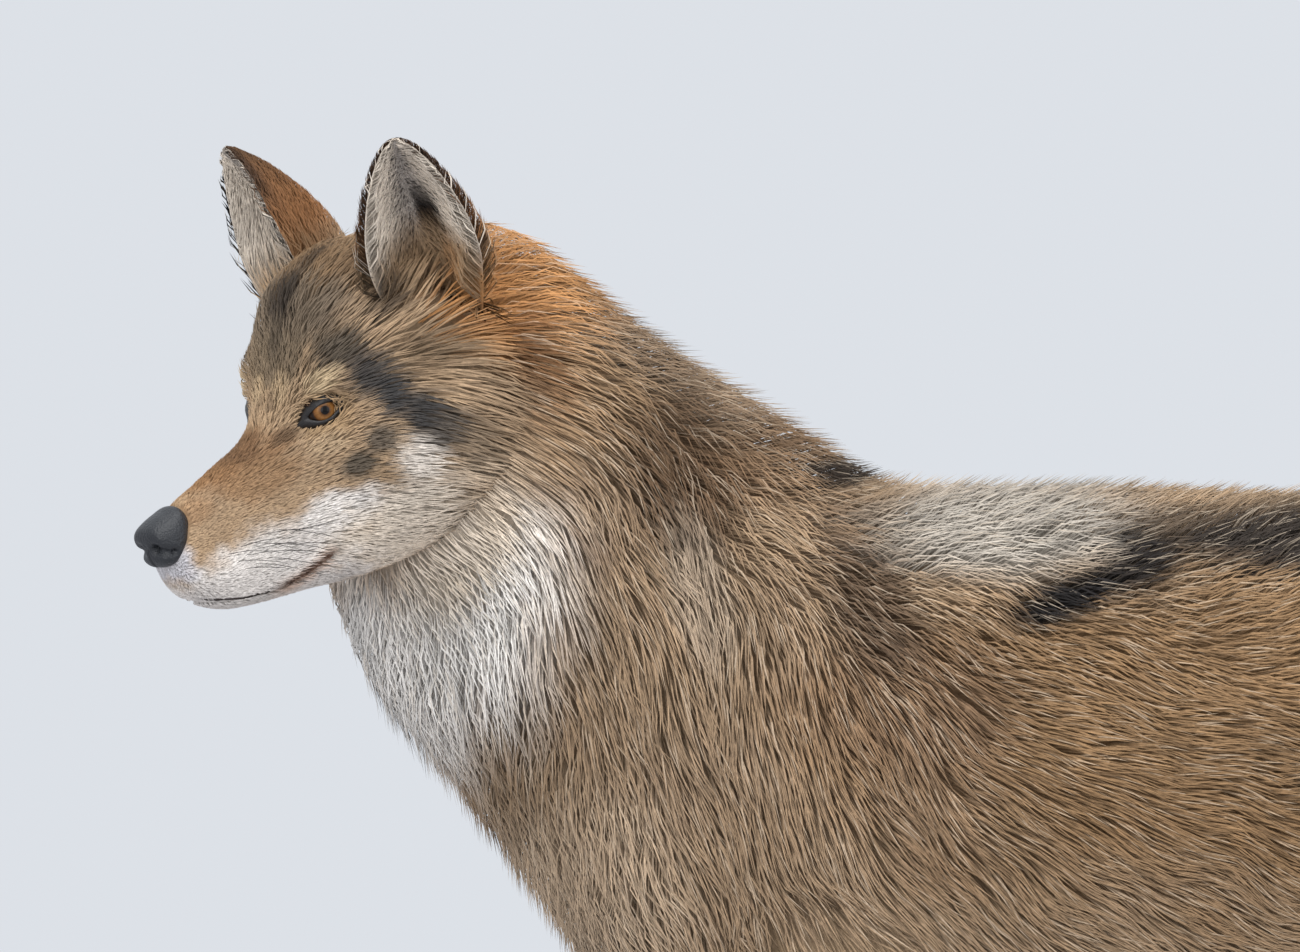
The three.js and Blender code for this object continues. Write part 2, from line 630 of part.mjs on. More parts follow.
// The corners of a lock's section, in shares of its width across the blade and of its thickness out
// from it. The section of its cutter follows it with walls at its thin edges: wider and lift say which
// way each corner is moved.
const BLADE_SHAPE = {
  corners: [
    { across: -0.5, out: -0.25, wider: 0, lift: 0 },
    { across: 0, out: 0.5, wider: 0, lift: 0 },
    { across: 0.5, out: -0.25, wider: 0, lift: 0 },
    { across: 0, out: -0.5, wider: 0, lift: 0 },
  ],
  longer: 0, // past the root and past the tip
  deeper: 0, // at the root
};
const CUTTER_SHAPE = {
  corners: [
    { across: -0.5, out: -0.25, wider: -1.6, lift: 0.6 },
    { across: 0, out: 0.5, wider: 0, lift: 0.6 },
    { across: 0.5, out: -0.25, wider: 1.6, lift: 0.6 },
    { across: 0.5, out: -0.25, wider: 1.6, lift: -0.6 },
    { across: 0, out: -0.5, wider: 0, lift: -0.6 },
    { across: -0.5, out: -0.25, wider: -1.6, lift: -0.6 },
  ],
  longer: 2.5,
  deeper: 0.8,
};

// The stations of a lock, found by walking over the form's surface along the lie of the coat. `flow` is
// 1 where the hair points to the form's later rows and -1 where it points to the earlier ones.
function lockStations(form, flow, { s, turn, length, root, tip, steep, droop, bend }) {
  let spot = [s, turn];
  return LOCK.map((station, i) => {
    const surface = surfaceAt(form, ...spot);
    const lie = surface.rows.clone().normalize().multiplyScalar(flow).add(vec(0, 0, -droop));
    lie.addScaledVector(surface.out, -lie.dot(surface.out)).normalize();
    lie.applyAxisAngle(surface.out, bend * station.along);
    const across = new THREE.Vector3().crossVectors(surface.out, lie);
    const here = { spot, surface, lie, across, depth: root + (tip - root) * station.rise ** steep };
    const step = i + 1 < LOCK.length ? (LOCK[i + 1].along - station.along) * length : 0;
    spot = spotAfter(form, spot, surface, lie.clone().multiplyScalar(step));
    return here;
  });
}

// One flat, tapered lock through its stations, or the cutter that wraps it.
function makeLock(form, stations, { width, thick }, { corners, longer, deeper }) {
  const tip = LOCK.length - 1;
  const pointAt = (ring, side) => {
    const { spot, surface, lie, across, depth } = stations[ring];
    const moved = (move) => spotAfter(form, spot, surface, move);
    if (ring === 0) return form.at(...moved(lie.clone().multiplyScalar(-longer)), depth - deeper);
    if (ring === tip) return form.at(...moved(lie.clone().multiplyScalar(longer)), depth);
    const corner = corners[side];
    const move = across.clone().multiplyScalar(corner.across * LOCK[ring].width * width + corner.wider);
    return form.at(...moved(move), depth + corner.out * LOCK[ring].thick * thick + corner.lift);
  };
  return solid(ringMesh(tip, corners.length, pointAt));
}

// Tiers of locks from row `from` to row `to`, each with `around` locks from turn `low` to turn `high`,
// set half a place over in every other tier.
function layCoat(form, { flow, from, to, tiers, around, low, high, ...sizes }, seed) {
  const draw = drawing(seed);
  const locks = [];
  for (let tier = 0; tier < tiers; tier++) {
    for (let i = 0; i < around; i++) {
      const across = (i + (tier % 2 ? 0.75 : 0.25) + 0.14 * draw()) / around;
      const along = tiers > 1 ? (tier + 0.1 * draw()) / (tiers - 1) : 0;
      locks.push({
        ...sizes,
        s: from + (to - from) * along,
        turn: radians(low + (high - low) * across),
        length: sizes.length * (1 + 0.12 * draw()),
        width: sizes.width * (1 + 0.1 * draw()),
        tip: sizes.tip + draw(),
        bend: 0.25 * draw(),
      });
    }
  }
  const laid = locks.map((lock) => [form, lockStations(form, flow, lock), lock]);
  return {
    blades: laid.map((lock) => makeLock(...lock, BLADE_SHAPE)),
    cutters: laid.map((lock) => makeLock(...lock, CUTTER_SHAPE)),
  };
}

// The long coat of each part. Turns are in degrees from the top over the right side, root and tip are
// heights over the form's own outline, steep is how late the lock rises, and droop is how far the hair
// hangs.
const COMB = { thick: 7, root: -26, tip: -2.5, steep: 1, droop: 0 };
const ALL_ROUND = { low: 0, high: 360 };
const COATS = {
  neck: {
    ...COMB, ...ALL_ROUND, flow: -1, from: 14.7, to: 10.4,
    tiers: 4, around: 10, length: 142, width: 70, droop: 0.3,
  },
  chest: {
    ...COMB, ...ALL_ROUND, flow: -1, from: 8.9, to: 7.3,
    tiers: 2, around: 11, length: 170, width: 82, droop: 0.35,
  },
  torso: {
    ...COMB, ...ALL_ROUND, flow: -1, from: 6.1, to: 3.9,
    tiers: 3, around: 8, length: 195, width: 102, droop: 0.25,
  },
  croup: {
    ...COMB, low: -80, high: 80, flow: -1, from: 2.6, to: 2,
    tiers: 1, around: 4, length: 150, width: 72, droop: 0.2,
  },
  tail: {
    ...COMB, ...ALL_ROUND, flow: 1, from: 0.9, to: 6.2, tiers: 4, around: 4, length: 140, width: 60,
  },
  cheek: {
    ...COMB, low: 62, high: 146, flow: 1, from: 0.9, to: 0.9, tiers: 1, around: 4, length: 118, width: 42,
    root: -15, tip: 0, droop: 0.6,
  },
  breech: {
    ...COMB, low: -40, high: 40, flow: 1, from: 1.8, to: 3.9, tiers: 2, around: 2, length: 130, width: 46,
    root: -14, tip: 6,
  },
};

// ---- Assembly -----------------------------------------------------------------------------------------

const headTurn = new THREE.Matrix4().compose(
  vec(...HEAD.noseTip),
  new THREE.Quaternion().setFromEuler(
    new THREE.Euler(0, -radians(HEAD.dropDeg), radians(HEAD.turnDeg), 'ZYX'),
  ),
  vec(1, 1, 1),
);

const root = new THREE.Group();

function addNode(parent, name, body, color, finish = FUR) {
  const mesh = new THREE.Mesh(
    geometryOf(largest(body)),
    new THREE.MeshStandardMaterial({ ...finish, color }),
  );
  mesh.name = name;
  parent.add(mesh);
  return mesh;
}

// Adds the head with its eyes, ears, nose and jaw. Returns the solids to cut from the neck, in the
// head's frame.
function addHead() {
  const group = new THREE.Group();
  group.applyMatrix4(headTurn);
  root.add(group);
  const whole = solid(skull.geometry(FACETS.head));
  const nose = makeNose();
  const eyes = Object.entries(SIDES).map(([name, side]) => ({ name, ...makeEye(side) }));
  const ears = Object.entries(EARS).map(([name, ear]) => {
    return { name, body: solid(earForm(ear).geometry(FACETS.ear)) };
  });
  const jaw = whole.intersect(belowMouth(MOUTH_GAP)).subtract(grown(nose));
  const tufts = Object.values(SIDES).map((side) => {
    const { low, high } = COATS.cheek;
    return layCoat(cheeks, { ...COATS.cheek, low: low * side, high: high * side }, 53);
  });
  let head = united([whole, ...eyes.map((eye) => eye.lids)]).subtract(belowMouth(0));
  const hollows = [grown(nose), ...eyes.map((eye) => eye.opening), ...eyes.map((eye) => grown(eye.ball))];
  head = without(head, hollows);
  addNode(group, 'head', united([head, ...tufts.flatMap((tuft) => tuft.blades)]), COLOURS.head);
  addNode(group, 'lower_jaw', jaw, COLOURS.muzzle);
  addNode(group, 'nose', nose, COLOURS.nose, { roughness: 0.45 });
  for (const eye of eyes) addNode(group, `eye_${eye.name}`, eye.ball, COLOURS.eye, { roughness: 0.15 });
  const clear = grown(whole);
  for (const ear of ears) addNode(group, `ear_${ear.name}`, ear.body.subtract(clear), COLOURS.ear);
  return [clear, ...ears.map((ear) => grown(ear.body)), ...tufts.flatMap((tuft) => tuft.cutters)];
}

// A flat slab of space across the trunk at row s, ahead of it where ahead is 1 and behind it where
// ahead is -1.
function trunkCut(s, ahead) {
  const top = trunk.at(s, 0);
  const low = trunk.at(s, Math.PI);
  const up = top.clone().sub(low).normalize();
  const yaw = radians(rowAt(TRUNK, s).yaw);
  const across = vec(-Math.sin(yaw), Math.cos(yaw), 0);
  const back = new THREE.Vector3().crossVectors(across, up).normalize();
  const middle = top.add(low).multiplyScalar(0.5);
  const turn = new THREE.Matrix4().makeBasis(back, across, up);
  turn.setPosition(middle.addScaledVector(back, (-ahead * (BEYOND + GAP)) / 2));
  return solid(new THREE.BoxGeometry(BEYOND, BEYOND, BEYOND).applyMatrix4(turn));
}

// A part's core with its locks fused on, the locks first cut clear of what stands in their way.
function dressed(core, coat, inTheWay) {
  const clear = united(inTheWay);
  return coat.blades.reduce((body, blade) => body.add(blade.subtract(clear)), core);
}

// What to cut from a neighbour so that it stays clear of a form, moved in or out by `swell`, and the
// locks on it.
function clearOf(form, facets, swell, coat) {
  return united([solid(form.geometry(facets, swell + GAP)), ...coat.cutters]);
}

// The solids of one leg, in a frame with its foot at the origin. coreHere is the trunk's core and
// coatHere the coat that hangs over a foreleg, both in that frame. A hind leg keeps its shape, and the
// coat ends at it.
function makeLeg({ limb, rows, side, scale, knee }, coreHere, coatHere) {
  const form = legForm(rows, side);
  const whole = solid(form.geometry(FACETS.leg)).subtract(coreHere);
  const paw = makePaw(scale);
  const bare = largest(whole.subtract(below(knee + GAP)));
  const breech = limb === 'hind' && layCoat(form, COATS.breech, 61);
  const upper = breech ? dressed(bare, breech, [coreHere]) : bare.subtract(coatHere);
  const lower = largest(whole.intersect(below(knee)).subtract(below(ANKLE_HEIGHT + GAP)));
  const foot = paw.foot.add(whole.subtract(below(0))).intersect(below(ANKLE_HEIGHT));
  const footClear = grown(foot);
  const claws = paw.claws.map((claw) => claw.subtract(footClear));
  const dewclaw = limb === 'front' && makeDewclaw(side, rows.at(-3).wide).subtract(grown(lower));
  const upperClear = breech && clearOf(form, FACETS.leg, 0, breech);
  return { upper: largest(upper), upperClear, lower, foot, claws, dewclaw };
}

const LIMBS = {
  front: {
    rows: FORELEG,
    foot: FRONT_FOOT,
    step: FRONT_STEP,
    scale: 1, // of the paw
    knee: 200, // height at which the leg is parted
    upperName: 'forearm',
    lowerName: 'pastern',
  },
  hind: {
    rows: HINDLEG,
    foot: HIND_FOOT,
    step: HIND_STEP,
    scale: 0.92,
    knee: 330,
    upperName: 'thigh',
    lowerName: 'shank',
  },
};

// Adds the legs. Returns what clears the coat of the trunk from the thighs.
function addLegs(coreClear, coatClear) {
  const thighClear = [];
  for (const [limb, plan] of Object.entries(LIMBS)) {
    for (const [name, side] of Object.entries(SIDES)) {
      const place = [plan.foot.x + plan.step[name], side * plan.foot.y, 0];
      const leg = new THREE.Group();
      leg.position.set(...place);
      root.add(leg);
      const back = place.map((v) => -v);
      const parts = makeLeg({ ...plan, limb, side }, coreClear.translate(back), coatClear.translate(back));
      addNode(leg, `${limb}_${plan.upperName}_${name}`, parts.upper, COLOURS.leg);
      addNode(leg, `${limb}_${plan.lowerName}_${name}`, parts.lower, COLOURS.leg);
      addNode(leg, `${limb}_paw_${name}`, parts.foot, COLOURS.leg);
      if (parts.dewclaw) addNode(leg, `front_dewclaw_${name}`, parts.dewclaw, COLOURS.claw, HORN);
      parts.claws.forEach((claw, i) => {
        addNode(leg, `${limb}_claw_${name}_${i + 1}`, claw, COLOURS.claw, HORN);
      });
      if (parts.upperClear) thighClear.push(parts.upperClear.translate(place));
    }
  }
  return thighClear;
}

function addTrunk({ core, coreClear, coats, coatClear, headCutters, thighClear }) {
  const tailCore = solid(tail.geometry(FACETS.tail, -CORE_DEPTH));
  const tailCoat = layCoat(tail, COATS.tail, 5);
  const headClear = headCutters.map((body) => body.transform(headTurn.elements));
  const behind = [...thighClear, clearOf(tail, FACETS.tail, -CORE_DEPTH, tailCoat)];
  const rump = { blades: [...coats.torso.blades, ...coats.croup.blades] };

  const neck = dressed(core.intersect(trunkCut(NECK_FROM, 1)), coats.neck, behind);
  const chestCore = core.intersect(trunkCut(CHEST_FROM, 1)).intersect(trunkCut(NECK_FROM, -1));
  const chest = dressed(chestCore, coats.chest, behind);
  const torso = dressed(core.intersect(trunkCut(CHEST_FROM, -1)), rump, behind);
  addNode(root, 'neck', without(neck, headClear), COLOURS.neck);
  addNode(root, 'chest', chest.subtract(coatClear.neck), COLOURS.torso);
  addNode(root, 'torso', torso.subtract(coatClear.chest).subtract(coatClear.neck), COLOURS.torso);
  const tailBody = dressed(tailCore, tailCoat, [coreClear]);
  addNode(root, 'tail', without(tailBody, [coreClear, ...thighClear]), COLOURS.tail);
}

const core = solid(trunk.geometry(FACETS.trunk, -CORE_DEPTH));
const coreClear = grown(core);
const coats = {
  neck: layCoat(trunk, COATS.neck, 11),
  chest: layCoat(trunk, COATS.chest, 23),
  torso: layCoat(trunk, COATS.torso, 37),
  croup: layCoat(trunk, COATS.croup, 41),
};
const coatClear = { neck: united(coats.neck.cutters), chest: united(coats.chest.cutters) };
const headCutters = addHead();
const thighClear = addLegs(coreClear, coatClear.neck.add(coatClear.chest));
addTrunk({ core, coreClear, coats, coatClear, headCutters, thighClear });

// The origin is on the floor under the middle of the model.
root.updateMatrixWorld(true);
const bounds = new THREE.Box3().setFromObject(root, true);
const middle = bounds.getCenter(new THREE.Vector3());
root.position.set(-middle.x, -middle.y, -bounds.min.z);

export default root;
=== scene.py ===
# A grey wolf in its winter coat, standing still, life size: skin, coat, eyes, nose, whiskers, claws and pads.
# Body sizes are in millimetres, with the nose towards -X and the wolf's left side towards -Y. They become
# metres in the frame of the solids when a mesh is made.
import math

import bmesh
import bpy
import numpy as np
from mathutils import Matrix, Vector
from mathutils.bvhtree import BVHTree
from mathutils.kdtree import KDTree


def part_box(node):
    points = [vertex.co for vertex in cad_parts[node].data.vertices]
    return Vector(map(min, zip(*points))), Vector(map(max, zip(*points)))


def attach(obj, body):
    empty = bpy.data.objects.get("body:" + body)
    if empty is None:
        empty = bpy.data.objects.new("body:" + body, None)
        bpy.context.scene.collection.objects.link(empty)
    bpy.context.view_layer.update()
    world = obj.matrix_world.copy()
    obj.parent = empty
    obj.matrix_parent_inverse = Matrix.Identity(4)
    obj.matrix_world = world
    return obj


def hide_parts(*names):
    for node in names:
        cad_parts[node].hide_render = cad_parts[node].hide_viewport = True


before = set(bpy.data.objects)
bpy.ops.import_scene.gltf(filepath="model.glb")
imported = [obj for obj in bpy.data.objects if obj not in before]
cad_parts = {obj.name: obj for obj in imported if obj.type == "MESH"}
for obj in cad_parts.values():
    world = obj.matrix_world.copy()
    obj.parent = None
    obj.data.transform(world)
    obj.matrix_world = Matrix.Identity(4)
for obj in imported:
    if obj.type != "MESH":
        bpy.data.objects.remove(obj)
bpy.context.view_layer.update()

MM = 0.001
rng = np.random.default_rng(7)

# ---- Driving sizes ---------------------------------------------------------------------------------------

NOSE_TIP = np.array([-462.0, -160.0, 749.4])
HEAD_TURN = math.radians(36)
HEAD_DROP = math.radians(25)
EYE = {"back": 134, "side": 40, "up": 33.5, "radius": 12.5, "sunk": 10.6}
EAR_THICK = 1.7  # half the thickness of the skin of an ear
FEET = {
    ("front", "left"): (-22, -76),
    ("front", "right"): (8, 76),
    ("hind", "left"): (682, -82),
    ("hind", "right"): (650, 82),
}
PAW_SCALE = {"front": 1.0, "hind": 0.92}
SIDES = {"left": -1, "right": 1}

# ---- Splines and forms -----------------------------------------------------------------------------------


def squared(c, square):
    """Raises |c| so that a circle becomes a squarer outline as square passes 2."""
    return np.sign(c) * np.abs(c) ** (2 / square)


def ramp(x, low, high):
    t = np.clip((x - low) / (high - low), 0, 1)
    return t * t * (3 - 2 * t)


def bell(distance, spread):
    return np.exp(-((distance / spread) ** 2))


def unit(v):
    return v / np.maximum(np.linalg.norm(v, axis=-1, keepdims=True), 1e-9)


def dot(a, b):
    return (a * b).sum(-1, keepdims=True)


class Form:
    """A closed form round a run of rows. place(row, c, s, swell) gives a point of a section at cosine c (its
    top) and sine s (its +Y side). Both ends close over `caps` rows. The last column is the depth of the
    coat."""

    def __init__(self, columns, rows, place, caps=(0.5, 0.5)):
        self.columns = columns.split()
        self.rows = np.array(rows, float)
        self.place = place
        self.caps = caps
        self.last = len(rows) - 1

    def row(self, s):
        i = np.clip(np.floor(s).astype(int), 0, self.last - 1)
        t = (s - i)[:, None]
        before, here, after, beyond = (self.rows[np.clip(i + k, 0, self.last)] for k in (-1, 0, 1, 2))
        leave, arrive = (after - before) / 2, (beyond - here) / 2
        bend = (2 * here - 2 * after + leave + arrive) * t**3 + (3 * after - 3 * here - 2 * leave - arrive) * t**2
        return dict(zip(self.columns, (bend + leave * t + here).T))

    def at(self, s, turn, depth=0.0):
        """Points at rows s and angles turn, `depth` of the way from the outline of the coat in to the skin."""
        s, turn = np.broadcast_arrays(np.asarray(s, float), np.asarray(turn, float))
        near = np.clip(np.minimum(s / self.caps[0], (self.last - s) / self.caps[1]), 0, 1)
        size = np.sqrt(np.maximum(0, 1 - (1 - near) ** 2))
        row = self.row(s)
        return self.place(row, np.cos(turn) * size, np.sin(turn) * size, -row["coat"] * depth)

    def spot(self, share):
        """The row at a share of the length, crowded towards the closed ends."""
        return self.last * (share + 0.5 - np.cos(share * np.pi) / 2) / 2


def stack(*columns):
    return np.stack(np.broadcast_arrays(*columns), -1)


def place_trunk(row, c, s, swell):
    yaw = np.radians(row["yaw"])
    middle = stack((row["topX"] + row["lowX"]) / 2, row["side"], (row["topZ"] + row["lowZ"]) / 2)
    up = stack(row["topX"], row["side"], row["topZ"]) - middle
    height = np.linalg.norm(up, axis=-1)
    rise = squared(c, row["square"])
    reach = squared(s, row["square"]) * (1 + row["lean"] * rise)
    across = stack(-np.sin(yaw), np.cos(yaw), 0)
    raised = up / height[:, None] * (rise * (height + swell))[:, None]
    aside = across * (reach * (row["half"] + swell))[:, None]
    return middle + raised + aside


TRUNK = Form(
    "topX topZ lowX lowZ half side yaw lean square coat",
    [
        (712, 716, 690, 590, 70, 0, 0, 0.05, 2.1, 20),
        (676, 757, 655, 510, 112, 0, 0, 0.05, 2.2, 26),
        (600, 781, 585, 462, 134, 0, 0, 0.02, 2.2, 26),
        (500, 787, 500, 437, 136, 0, 0, 0, 2.2, 25),
        (390, 789, 392, 428, 138, 0, 0, -0.03, 2.25, 25),
        (270, 790, 275, 408, 146, 0, 0, -0.04, 2.25, 26),
        (150, 795, 150, 392, 152, 0, 0, -0.05, 2.25, 28),
        (60, 796, 30, 388, 152, 0, 0, -0.06, 2.2, 30),
        (5, 799, -70, 398, 150, 0, 0, -0.08, 2.15, 32),
        (-38, 824, -150, 436, 147, 0, 0, -0.1, 2.1, 34),
        (-80, 853, -200, 500, 143, -1, 3, -0.1, 2.1, 36),
        (-122, 880, -246, 562, 139, -4, 8, -0.08, 2.1, 37),
        (-164, 908, -288, 613, 135, -9, 15, -0.05, 2.1, 37),
        (-205, 940, -323, 661, 127, -16, 23, 0, 2.1, 35),
        (-243, 966, -343, 704, 113, -24, 30, 0.02, 2.1, 30),
        (-275, 968, -352, 748, 88, -34, 35, 0.02, 2.1, 24),
    ],
    place_trunk,
    (1.1, 0.9),
)

# Swellings and hollows of the head: back, side, up, spread and rise, on both sides.
FEATURES = [
    (141, 36, 54, 16, 8),  # brow
    (162, 16, 88, 30, 8),  # forehead
    (206, 0, 108, 44, 16),  # crown between the ears
    (118, 32, 30, 11, -4.5),  # hollow before the eye
    (137, 48, 31, 13, -4),  # eye socket
    (158, 68, 4, 24, 4.5),  # cheekbone
    (110, 42, -8, 22, -3.5),  # hollow under the eye
    (40, 26, -36, 18, 2.5),  # upper lip
    (150, 0, 76, 12, -3),  # furrow of the forehead
    (186, 0, 100, 16, -2),
    (74, 0, 24, 16, 1.2),  # bridge of the muzzle
]
MOUTH = np.array(
    [(2, -38), (14, -42), (28, -48), (44, -54), (60, -57.5), (76, -58.5), (90, -56), (104, -50.5)], float
)
MOUTH_GROOVE = {"deep": 2.6, "spread": 1.3}
LIP = {"above": 3.2, "spread": 3.6, "rise": 1.6}


def mouth_at(back):
    return np.interp(back, MOUTH[:, 0], MOUTH[:, 1])


def mouth_share(p):
    """1 along the line of the mouth and 0 past its corner."""
    return ramp(p[:, 0], 6, 16) * (1 - ramp(p[:, 0], 97, 107))


def place_skull(row, c, s, swell):
    rise = squared(c, row["square"])
    reach = squared(s, row["square"]) * (1 + row["lean"] * rise)
    height = (row["top"] - row["low"]) / 2
    out = stack(0 * rise, reach * (row["half"] + swell), rise * (height + swell))
    p = stack(row["back"], 0, row["low"] + height) + out
    lift = np.zeros(len(p))
    for back, side, up, spread, high in FEATURES:
        away = np.linalg.norm(stack(p[:, 0] - back, np.abs(p[:, 1]) - side, p[:, 2] - up), axis=1)
        lift += high * bell(away, spread)
    over = p[:, 2] - mouth_at(p[:, 0])
    beside = np.minimum(1, np.abs(s) * 1.5)
    lip = LIP["rise"] * bell(over - LIP["above"], LIP["spread"])
    lift += lip * ramp(p[:, 0], 18, 34) * (1 - ramp(p[:, 0], 96, 112)) * beside
    lift -= MOUTH_GROOVE["deep"] * bell(over, MOUTH_GROOVE["spread"]) * mouth_share(p) * beside
    return p + unit(out) * lift[:, None]


SKULL = Form(
    "back top low half lean square coat",
    [
        (8, 0, -28, 12, -0.1, 2.1, 1.2),
        (17, 10, -44, 20.5, -0.16, 2.15, 1.6),
        (34, 17, -58, 26, -0.22, 2.3, 2),
        (54, 21, -65, 29, -0.24, 2.3, 2.4),
        (76, 25, -70, 33, -0.25, 2.3, 3),
        (96, 30, -74, 39, -0.26, 2.25, 3.6),
        (112, 38, -78, 47, -0.26, 2.2, 4.2),
        (128, 53, -82, 58, -0.24, 2.2, 5),
        (144, 73, -85, 70, -0.2, 2.2, 6.5),
        (164, 93, -88, 82, -0.17, 2.15, 9),
        (188, 104, -90, 91, -0.15, 2.1, 12),
        (214, 106, -88, 96, -0.14, 2.1, 14),
        (244, 102, -80, 91, -0.12, 2.1, 16),
        (276, 85, -60, 70, -0.1, 2.1, 16),
    ],
    place_skull,
    (0.9, 1.3),
)


def place_plain(row, c, s, swell):
    rise = squared(c, row["square"])
    reach = squared(s, row["square"]) * (1 + row["lean"] * rise)
    height = (row["top"] - row["low"]) / 2
    return stack(row["back"], reach * (row["half"] + swell), row["low"] + height + rise * (height + swell))


NOSE = Form(
    "back top low half lean square coat",
    [
        (0, 8, -11, 11, 0.05, 2.5, 0),
        (4, 12, -15, 15.5, 0.05, 2.5, 0),
        (11, 14.5, -16.5, 18, 0, 2.4, 0),
        (19, 16, -13, 18, 0, 2.3, 0),
        (26, 17, -5, 15, 0, 2.2, 0),
        (32, 15, 0, 10, 0, 2.1, 0),
    ],
    place_plain,
    (0.8, 0.8),
)


def to_body(p):
    """From the head's own frame to the body's."""
    ct, st, cd, sd = math.cos(HEAD_TURN), math.sin(HEAD_TURN), math.cos(HEAD_DROP), math.sin(HEAD_DROP)
    turn = np.array([[ct * cd, -st, -ct * sd], [st * cd, ct, -st * sd], [sd, 0, cd]])
    return p @ turn.T


def head_point(p):
    return to_body(np.asarray(p, float)) + NOSE_TIP


def to_head(p):
    """From the body's frame to the head's own."""
    turn = to_body(np.eye(3))
    return (p - NOSE_TIP) @ turn.T


EARS = {
    "left": {"root": (235, -58, 85), "tip": (223, -91, 179), "open": -52},
    "right": {"root": (226, 57, 84), "tip": (219, 90, 179), "open": 6},
}
EAR_ROWS = [
    (-26, 27, 38, -2, 1),
    (-4, 32, 47, 0, 1),
    (18, 35.5, 49, 2, 1),
    (40, 34, 43, 3, 1),
    (60, 28.5, 32, 3, 1),
    (78, 21, 20, 2, 1),
    (91, 13, 9, 0, 1),
    (100, 6, 2, -2, 1),
]


def ear_axes(ear):
    base = np.array(ear["root"], float)
    up = unit(np.array(ear["tip"], float) - base)
    angle = math.radians(ear["open"])
    way = np.array([-math.cos(angle), math.sin(angle), 0])
    way = unit(way - up * (way @ up))
    return base, up, way, np.cross(up, way)


def ear_form(ear):
    base, up, way, across = ear_axes(ear)

    def place(row, c, s, swell):
        slope = 2 * row["cup"] * c / row["half"]
        away = unit(across * slope[:, None] - way)
        deep = -row["cup"] * (1 - c * c) + row["cup"] * 0.5 - row["bow"]
        p = base + up * row["up"][:, None] + across * (row["half"] * c)[:, None] + way * deep[:, None]
        return head_point(p + away * (squared(s, 2.6) * EAR_THICK)[:, None])

    return Form("up half cup bow coat", EAR_ROWS, place, (0.05, 0.8))


def place_leg(foot, side):
    def place(row, c, s, swell):
        along = row["x"] + squared(c, 2.15) * (row["long"] + swell)
        across = foot[1] + side * row["out"] + squared(s, 2.15) * (row["wide"] + swell)
        return stack(foot[0] + along, across, row["z"])

    return place


FORELEG = [
    (-14, 2, 600, 80, 36, 16),
    (0, 10, 520, 80, 45, 14),
    (10, 9, 458, 69, 44, 12),
    (12, 5, 408, 53, 38, 10),
    (6, 2, 350, 40, 32, 8),
    (0, 0, 288, 33, 28, 6),
    (-3, -1, 232, 29, 26, 5),
    (-3, -2, 193, 31, 28.5, 4.5),
    (1, -2, 160, 28, 26.5, 4.5),
    (2, -1, 118, 26.5, 27, 4.5),
    (-5, 0, 80, 30, 31, 4.5),
    (-16, 0, 46, 35, 36, 4.5),
]
HINDLEG = [
    (-70, -34, 742, 76, 22, 14),
    (-78, -4, 676, 102, 42, 18),
    (-86, 13, 604, 112, 57, 19),
    (-98, 17, 536, 106, 57, 19),
    (-102, 15, 474, 88, 50, 17),
    (-78, 9, 412, 68, 41, 14),
    (-45, 4, 352, 54, 34, 11),
    (-14, 1, 298, 44, 28.5, 9),
    (10, 0, 252, 37, 25.5, 7),
    (21, 0, 218, 36.5, 25.5, 5.5),
    (23, 0, 186, 30, 24.5, 4.5),
    (19, 0, 142, 25.5, 23.5, 4.5),
    (10, 0, 98, 25.5, 25.5, 4.5),
    (0, 0, 66, 29, 29.5, 4.5),
    (-10, 0, 42, 32, 31, 4.5),
]
LEG_ROWS = {"front": FORELEG, "hind": HINDLEG}


def leg_form(limb, name):
    return Form("x out z long wide coat", LEG_ROWS[limb], place_leg(FEET[limb, name], SIDES[name]), (0.3, 0.3))


def place_tail(row, c, s, swell):
    tilt = np.radians(row["tilt"])
    r = row["r"] + swell
    return stack(row["x"] + np.sin(tilt) * c * r, s * r * 0.92, row["z"] + np.cos(tilt) * c * r)


TAIL = Form(
    "x z r tilt coat",
    [
        (664, 730, 27, 25, 10),
        (704, 712, 35, 42, 16),
        (737, 668, 43, 64, 23),
        (757, 606, 51, 78, 31),
        (767, 532, 58, 86, 38),
        (770, 452, 61, 92, 41),
        (766, 376, 56, 95, 38),
        (759, 310, 43, 97, 29),
        (752, 258, 23, 98, 14),
        (748, 231, 7, 98, 4),
    ],
    place_tail,
    (0.2, 0.8),
)

# Toes and claws in a paw's own frame: the middle of the foot at the origin, toes towards -X.
TOES = [(-27, 18, -9), (-11.5, 0, -2), (11.5, 0, 2), (27, 18, 9)]  # y, how far back, and spread in degrees
TOE_ROWS = [
    (12, 34, 15, 18, 3),
    (-14, 32, 16, 24, 3),
    (-36, 24, 16, 26, 3),
    (-52, 16, 14, 18, 2.5),
    (-61, 13, 8.5, 10, 2),
]
CLAW_ROWS = [
    (-50, 19, 5.2, 0),
    (-58, 19, 5, 0),
    (-66, 15, 3.8, 0),
    (-72, 9, 2.2, 0),
    (-74, 5, 1, 0),
]
PALM = {"back": 3, "up": 22, "long": 30, "wide": 33, "high": 24}


def set_toe(p, foot, toe, scale):
    """Moves a toe or claw from the middle line of a paw to its place in it, and the paw to its foot."""
    y, back, spread = toe
    angle = -math.radians(spread)
    x = p[..., 0] * math.cos(angle) - p[..., 1] * math.sin(angle) + back
    side = p[..., 0] * math.sin(angle) + p[..., 1] * math.cos(angle) + y
    return stack(x * scale + foot[0], side * scale + foot[1], p[..., 2])


